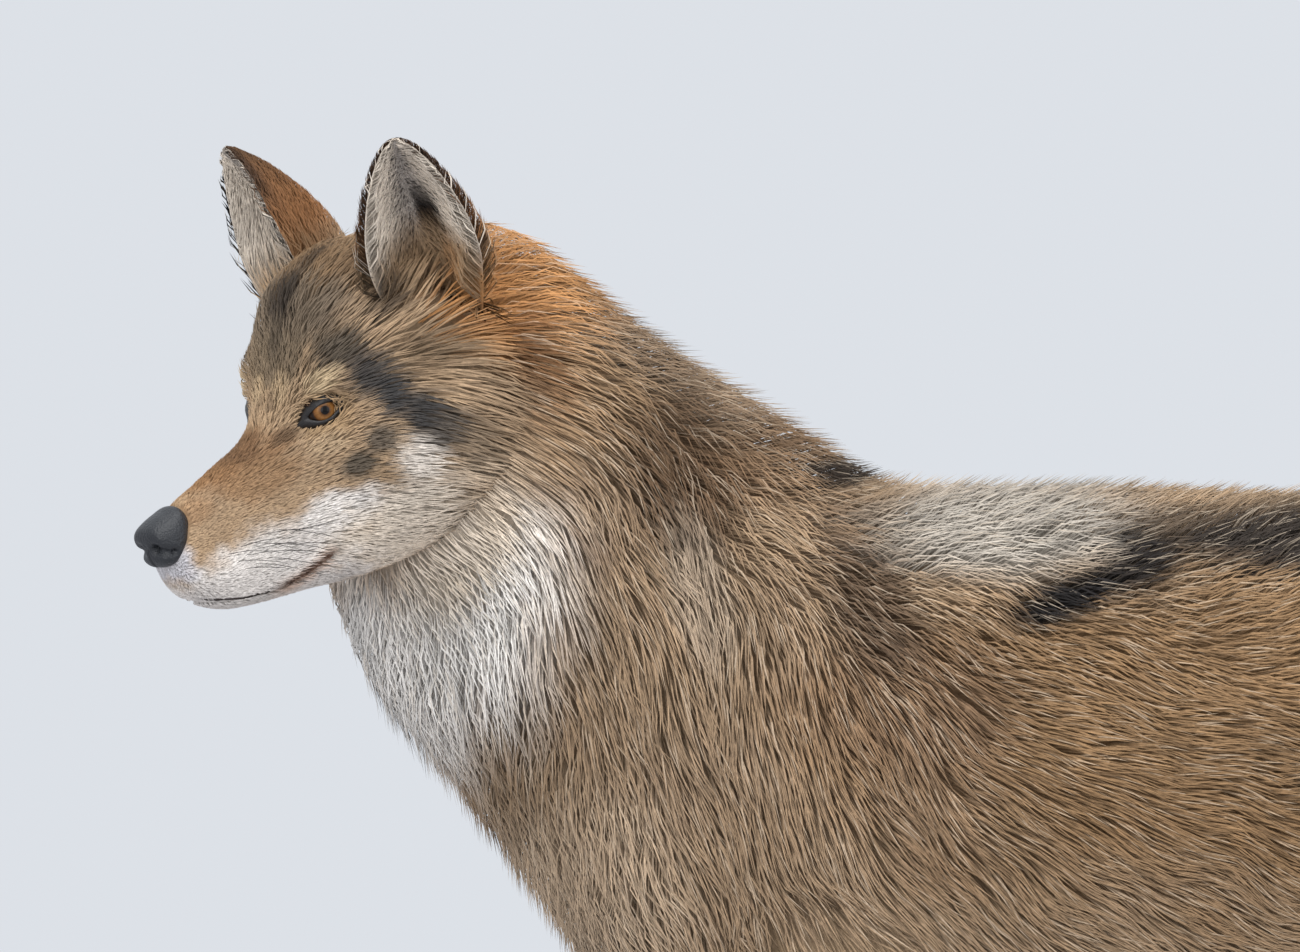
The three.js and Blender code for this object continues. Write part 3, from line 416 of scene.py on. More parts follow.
def toe_form(foot, toe, scale):
    def place(row, c, s, swell):
        across = squared(s, 2.1) * (row["r"] + swell)
        p = stack(row["x"], across, row["z"] + squared(c, 2.1) * (row["high"] + swell))
        return set_toe(p, foot, toe, scale)

    return Form("x z r high coat", TOE_ROWS, place, (0.6, 0.7))


def claw_form(foot, toe, scale):
    def place(row, c, s, swell):
        p = stack(row["x"], s * row["r"] * 0.75, row["z"] + c * row["r"])
        return set_toe(p, foot, toe, scale)

    return Form("x z r coat", CLAW_ROWS, place, (0.1, 0.3))


# ---- From the body's millimetres to the frame ------------------------------------------------------------


def eye_axes(side):
    """Centre of an eye, and the ways out of the head, along the slit to the outer corner, and up, in the head."""
    out = unit(np.array([-0.5, side * 0.83, 0.24]))
    along = np.array([0.78, side * 0.58, 0.12])
    along = unit(along - out * (along @ out))
    up = np.cross(out, along) * -side
    centre = np.array([EYE["back"], side * EYE["side"], EYE["up"]]) - out * EYE["sunk"]
    return centre, out, along, up


eye_low, eye_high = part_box("eye_left")
SHIFT = np.array((eye_low + eye_high) / 2) / MM - head_point(eye_axes(-1)[0])


def placed(p):
    return (np.asarray(p, float) + SHIFT) * MM


# ---- Meshes ----------------------------------------------------------------------------------------------


def new_object(name, bm):
    mesh = bpy.data.meshes.new(name)
    bm.to_mesh(mesh)
    bm.free()
    mesh.shade_smooth()
    piece = bpy.data.objects.new(name, mesh)
    bpy.context.scene.collection.objects.link(piece)
    return piece


def add_loft(bm, place, rings, sides):
    """Adds a globe to bm and moves each of its corners to place(share of the length, angle), in millimetres."""
    corners = bmesh.ops.create_uvsphere(bm, u_segments=sides, v_segments=rings, radius=1)["verts"]
    co = np.array([v.co for v in corners])
    points = placed(place(np.arccos(np.clip(co[:, 2], -1, 1)) / np.pi, np.arctan2(co[:, 1], co[:, 0])))
    for corner, point in zip(corners, points):
        corner.co = point
    turn_out(bm, list({face for corner in corners for face in corner.link_faces}))


def turn_out(bm, faces):
    """Turns the faces of a closed form outwards."""
    for face in faces:
        face.normal_update()
    if sum(face.calc_area() * face.normal.dot(face.calc_center_median()) for face in faces) < 0:
        bmesh.ops.reverse_faces(bm, faces=faces)


def turned_out(bm):
    turn_out(bm, bm.faces[:])
    return bm


def add_form(bm, form, rings, sides, depth=1.0, move=None):
    def place(share, turn):
        p = form.at(form.spot(share), turn, depth)
        return move(p) if move else p

    add_loft(bm, place, rings, sides)


def arrays(mesh):
    """Corner places, normals and triangles of a mesh as arrays."""
    co = np.empty(len(mesh.vertices) * 3, np.float32)
    mesh.vertices.foreach_get("co", co)
    mesh.calc_loop_triangles()
    tris = np.empty(len(mesh.loop_triangles) * 3, np.int32)
    mesh.loop_triangles.foreach_get("vertices", tris)
    normals = np.empty(len(mesh.vertices) * 3, np.float32)
    mesh.vertices.foreach_get("normal", normals)
    return co.reshape(-1, 3).astype(float), normals.reshape(-1, 3).astype(float), tris.reshape(-1, 3)


def baked(piece):
    """The piece's mesh with its modifiers applied."""
    graph = bpy.context.evaluated_depsgraph_get()
    mesh = bpy.data.meshes.new_from_object(piece.evaluated_get(graph))
    piece.modifiers.clear()
    old = piece.data
    piece.data = mesh
    bpy.data.meshes.remove(old)
    mesh.name = piece.name
    mesh.shade_smooth()
    return piece


# ---- Skin ------------------------------------------------------------------------------------------------

BODY_VOXEL = 0.0058


def make_body_skin():
    """Trunk, legs, paws and tail as one closed skin under the coat."""
    bm = bmesh.new()
    add_form(bm, TRUNK, 90, 72)
    add_form(bm, TAIL, 60, 32)
    for (limb, name), foot in FEET.items():
        add_form(bm, leg_form(limb, name), 80, 40)
        scale = PAW_SCALE[limb]
        for toe in TOES:
            add_form(bm, toe_form(foot, toe, scale), 24, 24)
        radii = np.array([PALM["long"] * scale, PALM["wide"] * scale, PALM["high"]])
        middle = np.array([foot[0] + PALM["back"] * scale, foot[1], PALM["up"]])

        def palm(share, turn):
            ring = np.sin(share * np.pi)
            ball = stack(ring * np.cos(turn), ring * np.sin(turn), np.cos(share * np.pi))
            return middle + ball * radii

        add_loft(bm, palm, 24, 24)
    piece = new_object("skin", bm)
    remesh = piece.modifiers.new("one_skin", "REMESH")
    remesh.mode = "VOXEL"
    remesh.voxel_size = BODY_VOXEL
    smooth = piece.modifiers.new("soft", "SMOOTH")
    smooth.factor = 0.5
    smooth.iterations = 6
    baked(piece)
    floor = -SHIFT[2] * MM + 0.0012
    for vertex in piece.data.vertices:
        vertex.co.z = max(vertex.co.z, floor)
    return piece


POCKET = {"half": 14, "high": 8, "deep": 8}


def pocketed(p):
    """Sinks the skin of the head behind the slits of the eyes."""
    for side in (-1, 1):
        centre, out, along, up = eye_axes(side)
        away = p - centre
        far = np.hypot(away @ along / POCKET["half"], away @ up / POCKET["high"])
        sunk = (1 - ramp(far, 0.7, 1.15)) * (away @ out > 0)
        p = p - out * (POCKET["deep"] * sunk)[:, None]
    return head_point(p)


def make_head_skin():
    bm = bmesh.new()
    add_form(bm, SKULL, 190, 170, move=pocketed)
    return new_object("head_skin", bm)


def make_ear_skin(name):
    bm = bmesh.new()
    add_form(bm, ear_form(EARS[name]), 64, 72)
    return new_object(f"ear_skin_{name}", bm)


def one_skin(whole, *others):
    """Joins the other skins to the first, so that no seam is left between them."""
    for other in others:
        join = whole.modifiers.new("join", "BOOLEAN")
        join.operation, join.solver, join.object = "UNION", "MANIFOLD", other
    mesh = baked(whole).data
    mesh.materials.clear()
    mesh.polygons.foreach_set("material_index", np.zeros(len(mesh.polygons), np.int32))
    for other in others:
        bpy.data.objects.remove(other)
    return whole


# ---- Markings --------------------------------------------------------------------------------------------


def tone(red, green, blue):
    """A display colour out of 255 as linear light."""
    c = np.array([red, green, blue]) / 255
    return np.where(c <= 0.04045, c / 12.92, ((c + 0.055) / 1.055) ** 2.4)


WHITE = tone(240, 232, 224)
CREAM = tone(232, 212, 186)
TAN = tone(182, 153, 121)
RUST = tone(154, 116, 80)
ORANGE = tone(204, 148, 94)
GREY_BROWN = tone(164, 138, 111)
SILVER = tone(190, 182, 170)
BLACK = tone(34, 30, 29)

# Marks of the head, later ones over earlier: back, side, up, then the half sizes along these, colour and
# strength.
HEAD_MARKS = [
    (165, 12, 98, 50, 48, 38, tone(126, 110, 92), 1),  # forehead
    (208, 18, 116, 32, 50, 28, tone(138, 110, 80), 0.9),  # crown
    (138, 8, 70, 24, 28, 24, tone(124, 108, 88), 0.9),  # between the brows
    (80, 0, 22, 46, 26, 18, RUST, 1),  # muzzle from above
    (88, 23, 10, 32, 16, 15, tone(158, 124, 90), 0.85),
    (92, 4, 27, 20, 15, 12, tone(124, 93, 66), 0.8),
    (106, 22, 24, 16, 9, 9, tone(156, 120, 86), 0.8),  # from the muzzle to the eye
    (32, 12, 10, 20, 12, 10, tone(168, 134, 100), 0.9),
    (55, 30, -42, 82, 40, 26, WHITE, 1),  # lips, chin and side of the muzzle
    (109, 44, -28, 26, 20, 15, WHITE, 1),
    (124, 54, -29, 28, 24, 14, WHITE, 1),
    (156, 70, -48, 38, 28, 22, tone(240, 228, 212), 1),
    (168, 83, -16, 19, 17, 20, tone(238, 226, 212), 1),  # white of the cheek
    (160, 58, -62, 72, 62, 38, tone(238, 222, 202), 1),  # under the cheek
    (64, 20, -66, 84, 42, 24, WHITE, 1),  # lower jaw
    (212, 80, -50, 28, 30, 26, tone(206, 182, 154), 0.8),
    (224, 94, 0, 28, 24, 34, tone(176, 148, 118), 0.9),  # back of the cheek
    (214, 78, 42, 30, 24, 24, tone(126, 104, 80), 0.85),  # under the ear
    (160, 48, 66, 22, 20, 15, tone(92, 82, 70), 0.95),  # sweep from the brow over the temple to behind the cheek
    (166, 63, 46, 19, 19, 19, tone(74, 69, 65), 1),
    (172, 74, 28, 18, 17, 19, tone(66, 64, 63), 1),
    (182, 84, 9, 18, 17, 17, tone(66, 63, 61), 1),
    (193, 89, -8, 19, 15, 15, tone(84, 78, 72), 0.95),
    (208, 90, -24, 18, 15, 17, tone(126, 110, 92), 0.75),
    (150, 73, 7, 12, 13, 10, tone(98, 90, 80), 0.85),
    (134, 60, -4, 18, 14, 9, tone(94, 86, 75), 0.9),  # dark spot under the eye
    (134, 46, 30, 22, 20, 16, tone(190, 158, 120), 1),  # round the eye
    (128, 46, 14, 15, 14, 8, tone(198, 170, 136), 0.9),
    (142, 44, 53, 15, 14, 9, tone(214, 188, 150), 1),  # brow
    (128, 13, 52, 9, 9, 14, tone(202, 174, 138), 0.9),
    (113, 22, 26, 12, 8, 6, tone(98, 76, 56), 0.75),  # dark line from the inner corner of the eye
    (121, 6, 47, 7, 5, 14, tone(104, 86, 68), 0.6),  # furrow
    (150, 2, 80, 18, 7, 16, tone(80, 70, 58), 0.7),
    (166, 5, 102, 18, 9, 18, tone(54, 47, 42), 0.85),
    (194, 2, 120, 24, 9, 12, tone(62, 52, 44), 0.7),
    (266, 82, 54, 32, 40, 54, ORANGE, 1),  # behind the ear
    (244, 76, 42, 15, 18, 20, tone(176, 128, 84), 0.75),
    (206, 58, 86, 17, 20, 17, tone(84, 70, 56), 0.9),  # before the ear
    # under the nose: white fur with a painted bluish highlight
    (10, 12, -16, 14, 16, 14, tone(226, 224, 228), 0.9),  # under the nose
    (18, 6, -50, 24, 22, 18, WHITE, 1),  # chin
]

# Marks of neck and trunk on both sides: x, z, half sizes along the mark and across it, its slope in degrees,
# colour and strength.
BODY_MARKS = [
    (240, 630, 290, 130, 0, tone(157, 123, 86), 0.9),
    (20, 650, 80, 46, 0, tone(140, 110, 82), 0.7),
    (-195, 850, 95, 66, 35, tone(178, 146, 112), 1),
    (-112, 858, 100, 24, -35, tone(150, 126, 102), 0.9),  # nape
    (-230, 912, 78, 60, 20, ORANGE, 1),
    (-218, 864, 30, 48, 0, tone(174, 122, 78), 0.9),
    (-213, 860, 22, 40, 0, tone(124, 86, 52), 0.9),
    (-118, 788, 44, 60, 0, tone(106, 82, 60), 0.9),
    (-60, 800, 50, 30, 30, tone(138, 108, 80), 0.7),
    (-182, 740, 17, 17, 0, tone(124, 98, 74), 0.6),
    (-112, 718, 22, 56, 12, tone(204, 186, 164), 0.45),
    # throat: white fur, painted brighter than its own white as light thrown up from below
    (-282, 690, 116, 84, 58, tone(253, 247, 238), 1),
    (-262, 740, 60, 34, 50, CREAM, 0.8),
    (-190, 510, 84, 70, 58, tone(210, 184, 154), 0.8),
    (2, 710, 34, 54, 0, tone(98, 78, 60), 0.85),
    (-14, 762, 24, 28, 0, tone(122, 96, 72), 0.6),
    (40, 600, 44, 60, 0, tone(150, 122, 96), 0.4),
    (88, 764, 92, 42, 0, SILVER, 0.9),
    (440, 778, 190, 20, 0, tone(84, 74, 62), 0.75),
    (262, 760, 112, 22, 0, tone(44, 40, 38), 0.95),
    (128, 720, 56, 15, 22, BLACK, 1),
    (172, 744, 20, 28, 0, BLACK, 0.95),
    (-18, 797, 24, 11, 0, tone(50, 42, 36), 0.95),
    (240, 420, 330, 40, 0, tone(222, 198, 166), 0.85),
    (650, 700, 70, 70, 0, tone(150, 124, 96), 0.7),
]
LEG_MARKS = {
    "leg": tone(204, 174, 138),
    "front": tone(138, 112, 84),
    "foot": tone(214, 190, 158),
    # painted shade in the gaps between the toes
    "painted shade between toes": tone(84, 66, 50),
}
TOE_GAP = 19  # from the middle of a paw to the gap beside its outer toes
TAIL_MARKS = {"tail": tone(168, 140, 108), "over": tone(104, 86, 68), "tip": tone(42, 37, 34)}


def lattice(i, seed):
    mixed = np.sin(i @ np.array([127.1, 311.7, 74.7]) + seed * 17.3) * 43758.5453
    return mixed - np.floor(mixed)


def cloud(p, size, seed=0):
    """Smooth noise from -1 to 1 with blobs of a size in millimetres."""
    q = p / size
    i = np.floor(q)
    f = q - i
    f = f * f * (3 - 2 * f)
    total = np.zeros(len(p))
    for corner in np.ndindex(2, 2, 2):
        share = np.prod(np.where(corner, f, 1 - f), axis=1)
        total += share * lattice(i + np.array(corner), seed)
    return total * 2 - 1


def laid_over(colour, paint, amount):
    return colour + (paint - colour) * np.clip(amount, 0, 1)[:, None]


def head_colour(p):
    """Colours of the head, from places in its own frame."""
    ragged = 0.16 * cloud(p, 9, 1) + 0.1 * cloud(p, 4, 2)
    colour = np.tile(TAN, (len(p), 1))
    for back, side, up, long, wide, high, paint, strength in HEAD_MARKS:
        q = stack((p[:, 0] - back) / long, (np.abs(p[:, 1]) - side) / wide, (p[:, 2] - up) / high)
        colour = laid_over(colour, paint, strength * (1 - ramp(np.linalg.norm(q, axis=1) + ragged, 0.5, 1.25)))
    # towards the corner of the mouth: an orange tint just below it, and a dark brown line along it that is partly
    # the dark lip and partly painted shade in the crease of the mouth
    over = p[:, 2] - mouth_at(p[:, 0])
    corner = ramp(p[:, 0], 58, 78) * (1 - ramp(p[:, 0], 101, 109))
    colour = laid_over(colour, tone(196, 138, 88), bell(over + 2, 6) * corner * 0.6)
    return laid_over(colour, tone(70, 44, 30), bell(over, 2.6) * corner)


def body_colour(p):
    """Colours of the neck and trunk."""
    ragged = 0.16 * cloud(p, 36, 3) + 0.1 * cloud(p, 14, 4)
    colour = laid_over(np.tile(GREY_BROWN, (len(p), 1)), TAN, 0.5 + 0.5 * cloud(p, 60, 5))
    for x, z, long, wide, slope, paint, strength in BODY_MARKS:
        angle = math.radians(slope)
        dx, dz = p[:, 0] - x, p[:, 2] - z
        along = dx * math.cos(angle) + dz * math.sin(angle)
        across = dz * math.cos(angle) - dx * math.sin(angle)
        q = stack(along / long, across / wide)
        colour = laid_over(colour, paint, strength * (1 - ramp(np.linalg.norm(q, axis=1) + ragged, 0.5, 1.25)))
    return colour


def leg_colour(p, foot, limb):
    colour = np.tile(LEG_MARKS["leg"], (len(p), 1))
    inner = ramp(-np.sign(foot[1]) * (p[:, 1] - foot[1]), 0, 25)
    colour = laid_over(colour, CREAM, 0.7 * inner)
    ahead = foot[0] - p[:, 0] if limb == "front" else p[:, 0] - foot[0] + 60
    line = ramp(ahead, 8, 34) * ramp(p[:, 2], 110, 190) * (1 - ramp(p[:, 2], 420, 520)) * (1 - inner)
    colour = laid_over(colour, LEG_MARKS["front"], 0.55 * line)
    colour = laid_over(colour, LEG_MARKS["foot"], 1 - ramp(p[:, 2], 60, 130))
    # painted shade: the gaps between the toes are darkened
    forward = foot[0] - p[:, 0]
    aside = np.abs(p[:, 1] - foot[1]) / PAW_SCALE[limb]
    gap = np.minimum(aside, np.abs(aside - TOE_GAP - 0.1 * forward))
    toes = ramp(forward, 18, 34) * (1 - ramp(p[:, 2], 36, 52))
    colour = laid_over(colour, LEG_MARKS["painted shade between toes"], 0.85 * bell(gap, 3.5) * toes)
    high = ramp(p[:, 2], 430, 560)
    return laid_over(colour, body_colour(p), high)


def tail_colour(p):
    colour = laid_over(body_colour(p), TAIL_MARKS["tail"], 1 - ramp(p[:, 2], 640, 720))
    colour = laid_over(colour, TAIL_MARKS["over"], 0.7 * ramp(p[:, 0], 765, 800))
    return laid_over(colour, TAIL_MARKS["tip"], 1 - ramp(p[:, 2] + 14 * cloud(p, 20, 6), 300, 350))


# ---- Lie of the coat -------------------------------------------------------------------------------------

# The coat of each part: how many times its depth a hair is long, the width of a tuft at the shortest and the
# longest coat, how many times the tufts cover the skin, and how far their colours stray.
COAT = {
    "head": {"ratio": 2.4, "width": (0.7, 1.3), "cover": 2.8, "stray": 0.09},
    "trunk": {"ratio": 1.3, "width": (0.95, 1.2), "cover": 2.8, "stray": 0.09},
    "leg": {"ratio": 2.3, "width": (2.0, 2.4), "cover": 1.6, "stray": 0.09},
    "paw": {"ratio": 2.5, "width": (1.3, 1.6), "cover": 2.1, "stray": 0.08},
    "tail": {"ratio": 1.7, "width": (1.4, 1.9), "cover": 3.0, "stray": 0.12},
    "ear": {"ratio": 2.3, "width": (0.7, 1.1), "cover": 2.2, "stray": 0.09},
}
GUIDE_PROBE = 0.02


def guides_on(form, rows, sides, lie_of, part, name, move=None):
    """Samples over a form of where the coat starts, which way it lies and how deep it is."""
    s = np.linspace(0.03, form.last - 0.03, rows)
    turn = np.linspace(-np.pi, np.pi, sides, endpoint=False)
    s, turn = (grid.ravel() for grid in np.meshgrid(s, turn, indexing="ij"))
    go = move or (lambda p: p)
    own = form.at(s, turn, 1)
    skin = go(own)
    outline = go(form.at(s, turn, 0))
    down = (go(form.at(s + GUIDE_PROBE, turn, 1)) - go(form.at(s - GUIDE_PROBE, turn, 1))) / GUIDE_PROBE / 2
    round_it = (go(form.at(s, turn + GUIDE_PROBE, 1)) - go(form.at(s, turn - GUIDE_PROBE, 1))) / GUIDE_PROBE / 2
    lie = lie_of(own, unit(down), s, turn)
    depth = np.linalg.norm(outline - skin, axis=1)
    ratio = COAT[part]["ratio"]
    return {
        "at": skin,
        "lie": unit(lie),
        "depth": depth,
        "length": depth * ratio,
        "loose": np.zeros(len(s)),
        "uv": stack((turn / np.pi + 1) / 2, s / form.last),
        "u_step": round_it * 2 * np.pi,
        "v_step": down * form.last,
        "part": np.full(len(s), part),
        "name": np.full(len(s), name),
    }


def on_tile(g, left, low, wide, high):
    """Moves the map of guides to a tile of their piece's map."""
    g["uv"] = g["uv"] * np.array([wide, high]) + np.array([left, low])
    g["u_step"] /= wide
    g["v_step"] /= high
    return g


def trunk_lie(p, along, s, turn):
    neck = ramp(s, 6.5, 9.5)
    flank = 1 - ramp(s, 5, 7.5)
    droop = (0.35 + 0.75 * neck * (1 - ramp(s, 12, 15)) + 0.5 * (1 - flank) * (1 - neck)) * np.abs(np.sin(turn))
    return -along + stack(0, 0, -droop)


def near_ear(p):
    """1 at the foot of an ear and 0 away from it."""
    foot = np.array(EARS["right"]["root"])
    return bell(np.linalg.norm(stack(p[:, 0], np.abs(p[:, 1]), p[:, 2]) - foot, axis=1), 34)


def ruffled(g):
    """Lets the hairs on the back of the head stream off it, and lengthens them at the cheeks and the ears."""
    p = to_head(g["at"])
    g["loose"] = ramp(p[:, 0], 150, 205) * (1 - ramp(p[:, 2], 50, 90)) * 0.85
    g["length"] *= 1 + 0.6 * g["loose"] + 0.55 * near_ear(p)
    g["depth"] *= 1 + 0.45 * near_ear(p)
    g["loose"] = np.minimum(1, g["loose"] + 0.4 * near_ear(p))
    return g


def head_lie(p, along, s, turn):
    side = np.sign(p[:, 1]) * np.minimum(1, np.abs(p[:, 1]) / 20)
    cheek = ramp(p[:, 0], 118, 190) * (1 - ramp(p[:, 2], 10, 70))
    crown = ramp(p[:, 2], 40, 90)
    lie = stack(1 - 0.25 * cheek, side * (0.12 + 0.5 * cheek + 0.1 * crown), -0.12 - 0.5 * cheek + 0.5 * crown)
    lie[:, 2] += 0.9 * near_ear(p)
    return to_body(lie)


def leg_lie(p, along, s, turn):
    return along + stack(0.5 * ramp(p[:, 2], 300, 600), 0, 0)


def toe_lie(p, along, s, turn):
    return along + stack(-0.2, 0, -0.5)


def all_guides():
    parts = [
        guides_on(TRUNK, 100, 80, trunk_lie, "trunk", "trunk"),
        ruffled(guides_on(SKULL, 90, 80, head_lie, "head", "head", head_point)),
        guides_on(TAIL, 50, 24, lambda p, along, s, turn: along, "tail", "tail"),
    ]
    for i, ((limb, name), foot) in enumerate(FEET.items()):
        leg = guides_on(leg_form(limb, name), 60, 28, leg_lie, "leg", f"{limb}_{name}")
        parts.append(on_tile(leg, i / 4, 0, 1 / 4, 0.8))
        for k, toe in enumerate(TOES):
            g = guides_on(toe_form(foot, toe, PAW_SCALE[limb]), 12, 12, toe_lie, "paw", f"{limb}_{name}")
            parts.append(on_tile(g, i / 4 + k / 16, 0.8, 1 / 16, 0.2))
    return {key: np.concatenate([part[key] for part in parts]) for key in parts[0]}


# ---- Tufts -----------------------------------------------------------------------------------------------


def scattered(mesh, density_at):
    """Random roots over a mesh, in millimetres of the body, with their normals. density_at gives how many
    tufts stand on a square millimetre."""
    co, normals, tris = arrays(mesh)
    co = co / MM - SHIFT
    tris = tris[np.lexsort(co[tris].mean(axis=1).T)]  # one order for the draws, however the mesh is stored
    a, b, c = (co[tris[:, k]] for k in range(3))
    area = np.linalg.norm(np.cross(b - a, c - a), axis=1) / 2
    wanted = area * density_at((a + b + c) / 3)
    count = np.floor(wanted + rng.random(len(wanted))).astype(int)
    pick = np.repeat(np.arange(len(tris)), count)
    u, v = rng.random(len(pick)), rng.random(len(pick))
    fold = u + v > 1
    u[fold], v[fold] = 1 - u[fold], 1 - v[fold]
    w = 1 - u - v
    roots = a[pick] * w[:, None] + b[pick] * u[:, None] + c[pick] * v[:, None]
    n = normals[tris[pick]]
    return roots, unit(n[:, 0] * w[:, None] + n[:, 1] * u[:, None] + n[:, 2] * v[:, None])


def nearest_of(places, points):
    """For each point, which of the places is nearest."""
    tree = KDTree(len(places))
    for i, place in enumerate(places):
        tree.insert(place, i)
    tree.balance()
    return np.array([tree.find(point)[1] for point in points])


def tree_of(mesh):
    """A search tree over a mesh, in millimetres of the body."""
    co, _, tris = arrays(mesh)
    return BVHTree.FromPolygons((co / MM - SHIFT).tolist(), tris.tolist())


def on_skin(tree, points):
    """The nearest places of the skin to points, and its normals there."""
    found = [tree.find_nearest(point)[:2] for point in points.tolist()]
    return np.array([f[0] for f in found]), np.array([f[1] for f in found])


def outside(tree, points, margin=0.0):
    near, normal = on_skin(tree, points)
    return ((points - near) * normal).sum(1) > margin


TUFT = {
    "spike": {"at": (0,), "width": (1.0,)},
    "short": {"at": (0, 0.5), "width": (0.65, 1.0)},
    "long": {"at": (0, 0.35, 0.7), "width": (0.55, 1.0, 0.7)},
}
ROOT_DEPTH = 1.2  # how far a tuft's root is sunk in the skin
SOFTNESS = 0.82  # how far a tuft is lit as the skin under it is
PATCH = 0.003  # size of a tuft's patch on the map of the skin


def follow(tree, aim, normal):
    """The skin nearest to aim and its normal there, or aim itself where a hair has passed a thin rim."""
    near, turned = on_skin(tree, aim)
    passed = dot(turned, normal) < 0
    return np.where(passed, aim, near), np.where(passed, normal, turned)


def lay(tree, t, clump, cluster):
    """Works out the middle and the tip of each tuft, following the skin, and gathers the tips in clusters."""
    n, lie, length, depth = t["normal"], t["lie"], t["length"][:, None], t["depth"][:, None]
    lie = unit(lie - n * dot(lie, n))
    half_way, n1 = follow(tree, t["root"] + lie * length * 0.5, n)
    lie1 = unit(lie - n1 * dot(lie, n1))
    end, n2 = follow(tree, half_way + lie1 * length * 0.42, n1)
    middle = half_way + n1 * depth * 0.7
    tip = end + n2 * depth * t["stand"][:, None]
    loose = t["loose"][:, None]
    straight = unit(lie + n * 0.24 + np.array([0, 0, -0.14]))
    tip += (t["root"] + straight * length + n * depth * t["stand"][:, None] * 0.5 - tip) * loose
    middle += (t["root"] + straight * length * 0.5 + n * depth * 0.6 - middle) * loose
    seeds = np.arange(0, len(tip), cluster)
    mine = seeds[nearest_of(t["root"][seeds], t["root"])]
    pull = clump * rng.uniform(0.5, 1, (len(tip), 1))
    t["tip"] = tip + (tip[mine] - tip) * pull
    t["middle"] = middle + (middle[mine] - middle) * pull * 0.45
    t["lie"] = lie
    return t


def grow(name, t, style, material):
    """Makes one mesh of tufts, each a closed blade of three sides that tapers to its tip."""
    steps, widths = TUFT[style]["at"], TUFT[style]["width"]
    count, rings = len(t["root"]), len(steps)
    root = t["root"] - t["normal"] * ROOT_DEPTH
    bend = 2 * t["middle"] - (root + t["tip"]) / 2
    co = np.empty((count, rings * 3 + 1, 3))
    colour = np.ones((count, rings * 3 + 1, 4))
    uv = np.empty((count, rings * 3 + 1, 2))
    patch = t["uv"] * (1 - PATCH)
    roll = t["roll"][:, None]
    for k, (at, wide) in enumerate(zip(steps, widths)):
        centre = root * (1 - at) ** 2 + bend * 2 * at * (1 - at) + t["tip"] * at * at
        tangent = unit((bend - root) * (1 - at) + (t["tip"] - bend) * at)
        across = unit(np.cross(t["normal"], tangent))
        rise = np.cross(tangent, across)
        across, rise = across * np.cos(roll) + rise * np.sin(roll), rise * np.cos(roll) - across * np.sin(roll)
        half = t["width"][:, None] * wide / 2
        for corner, way in enumerate((across, rise * 0.8, -across)):
            co[:, k * 3 + corner] = centre + way * half
            uv[:, k * 3 + corner] = patch + PATCH * np.array([corner / 2, at])
        colour[:, k * 3 : k * 3 + 3, :3] = (t["root_colour"] * (1 - at) + t["tip_colour"] * at)[:, None]
    co[:, -1] = t["tip"]
    co[:, :, 2] = np.maximum(co[:, :, 2], -SHIFT[2])
    colour[:, -1, :3] = t["tip_colour"]
    uv[:, -1] = patch + PATCH * np.array([0.5, 1])
    one = [(0, 2, 1)]
    for k in range(rings - 1):
        for j in range(3):
            a, b = k * 3 + j, k * 3 + (j + 1) % 3
            one += [(a, b, a + 3), (b, b + 3, a + 3)]
    last = rings * 3
    one += [(last - 3 + j, last - 3 + (j + 1) % 3, last) for j in range(3)]
    tris = (np.array(one)[None] + np.arange(count)[:, None, None] * (last + 1)).reshape(-1, 3)
    mesh = bpy.data.meshes.new(name)
    mesh.vertices.add(count * (last + 1))
    mesh.vertices.foreach_set("co", placed(co.reshape(-1, 3)).astype(np.float32).ravel())
    mesh.loops.add(len(tris) * 3)
    mesh.loops.foreach_set("vertex_index", tris.astype(np.int32).ravel())
    mesh.polygons.add(len(tris))
    mesh.polygons.foreach_set("loop_start", np.arange(0, len(tris) * 3, 3, dtype=np.int32))
    mesh.update()
    mesh.shade_smooth()
    paint = mesh.attributes.new("coat", "FLOAT_COLOR", "POINT")
    paint.data.foreach_set("color", colour.astype(np.float32).ravel())
    layer = mesh.uv_layers.new(name="OFBake")
    layer.data.foreach_set("uv", uv.reshape(-1, 2)[tris.ravel()].astype(np.float32).ravel())
    mesh.materials.append(material)
    own = np.empty(len(mesh.vertices) * 3, np.float32)
    mesh.vertices.foreach_get("normal", own)
    soft = np.repeat(t["normal"], last + 1, axis=0) * SOFTNESS + own.reshape(-1, 3) * (1 - SOFTNESS)
    mesh.normals_split_custom_set_from_vertices(unit(soft).tolist())
    piece = bpy.data.objects.new(name, mesh)
    bpy.context.scene.collection.objects.link(piece)
    print(name, count, "tufts", len(tris), "triangles")
    return piece


# ---- Materials -------------------------------------------------------------------------------------------


def new_group(name, inputs, outputs):
    group = bpy.data.node_groups.new(name, "ShaderNodeTree")
    for way, sockets in (("INPUT", inputs), ("OUTPUT", outputs)):
        for label, kind in sockets:
            group.interface.new_socket(label, in_out=way, socket_type=f"NodeSocket{kind}")
    return group, group.nodes.new("NodeGroupInput"), group.nodes.new("NodeGroupOutput")


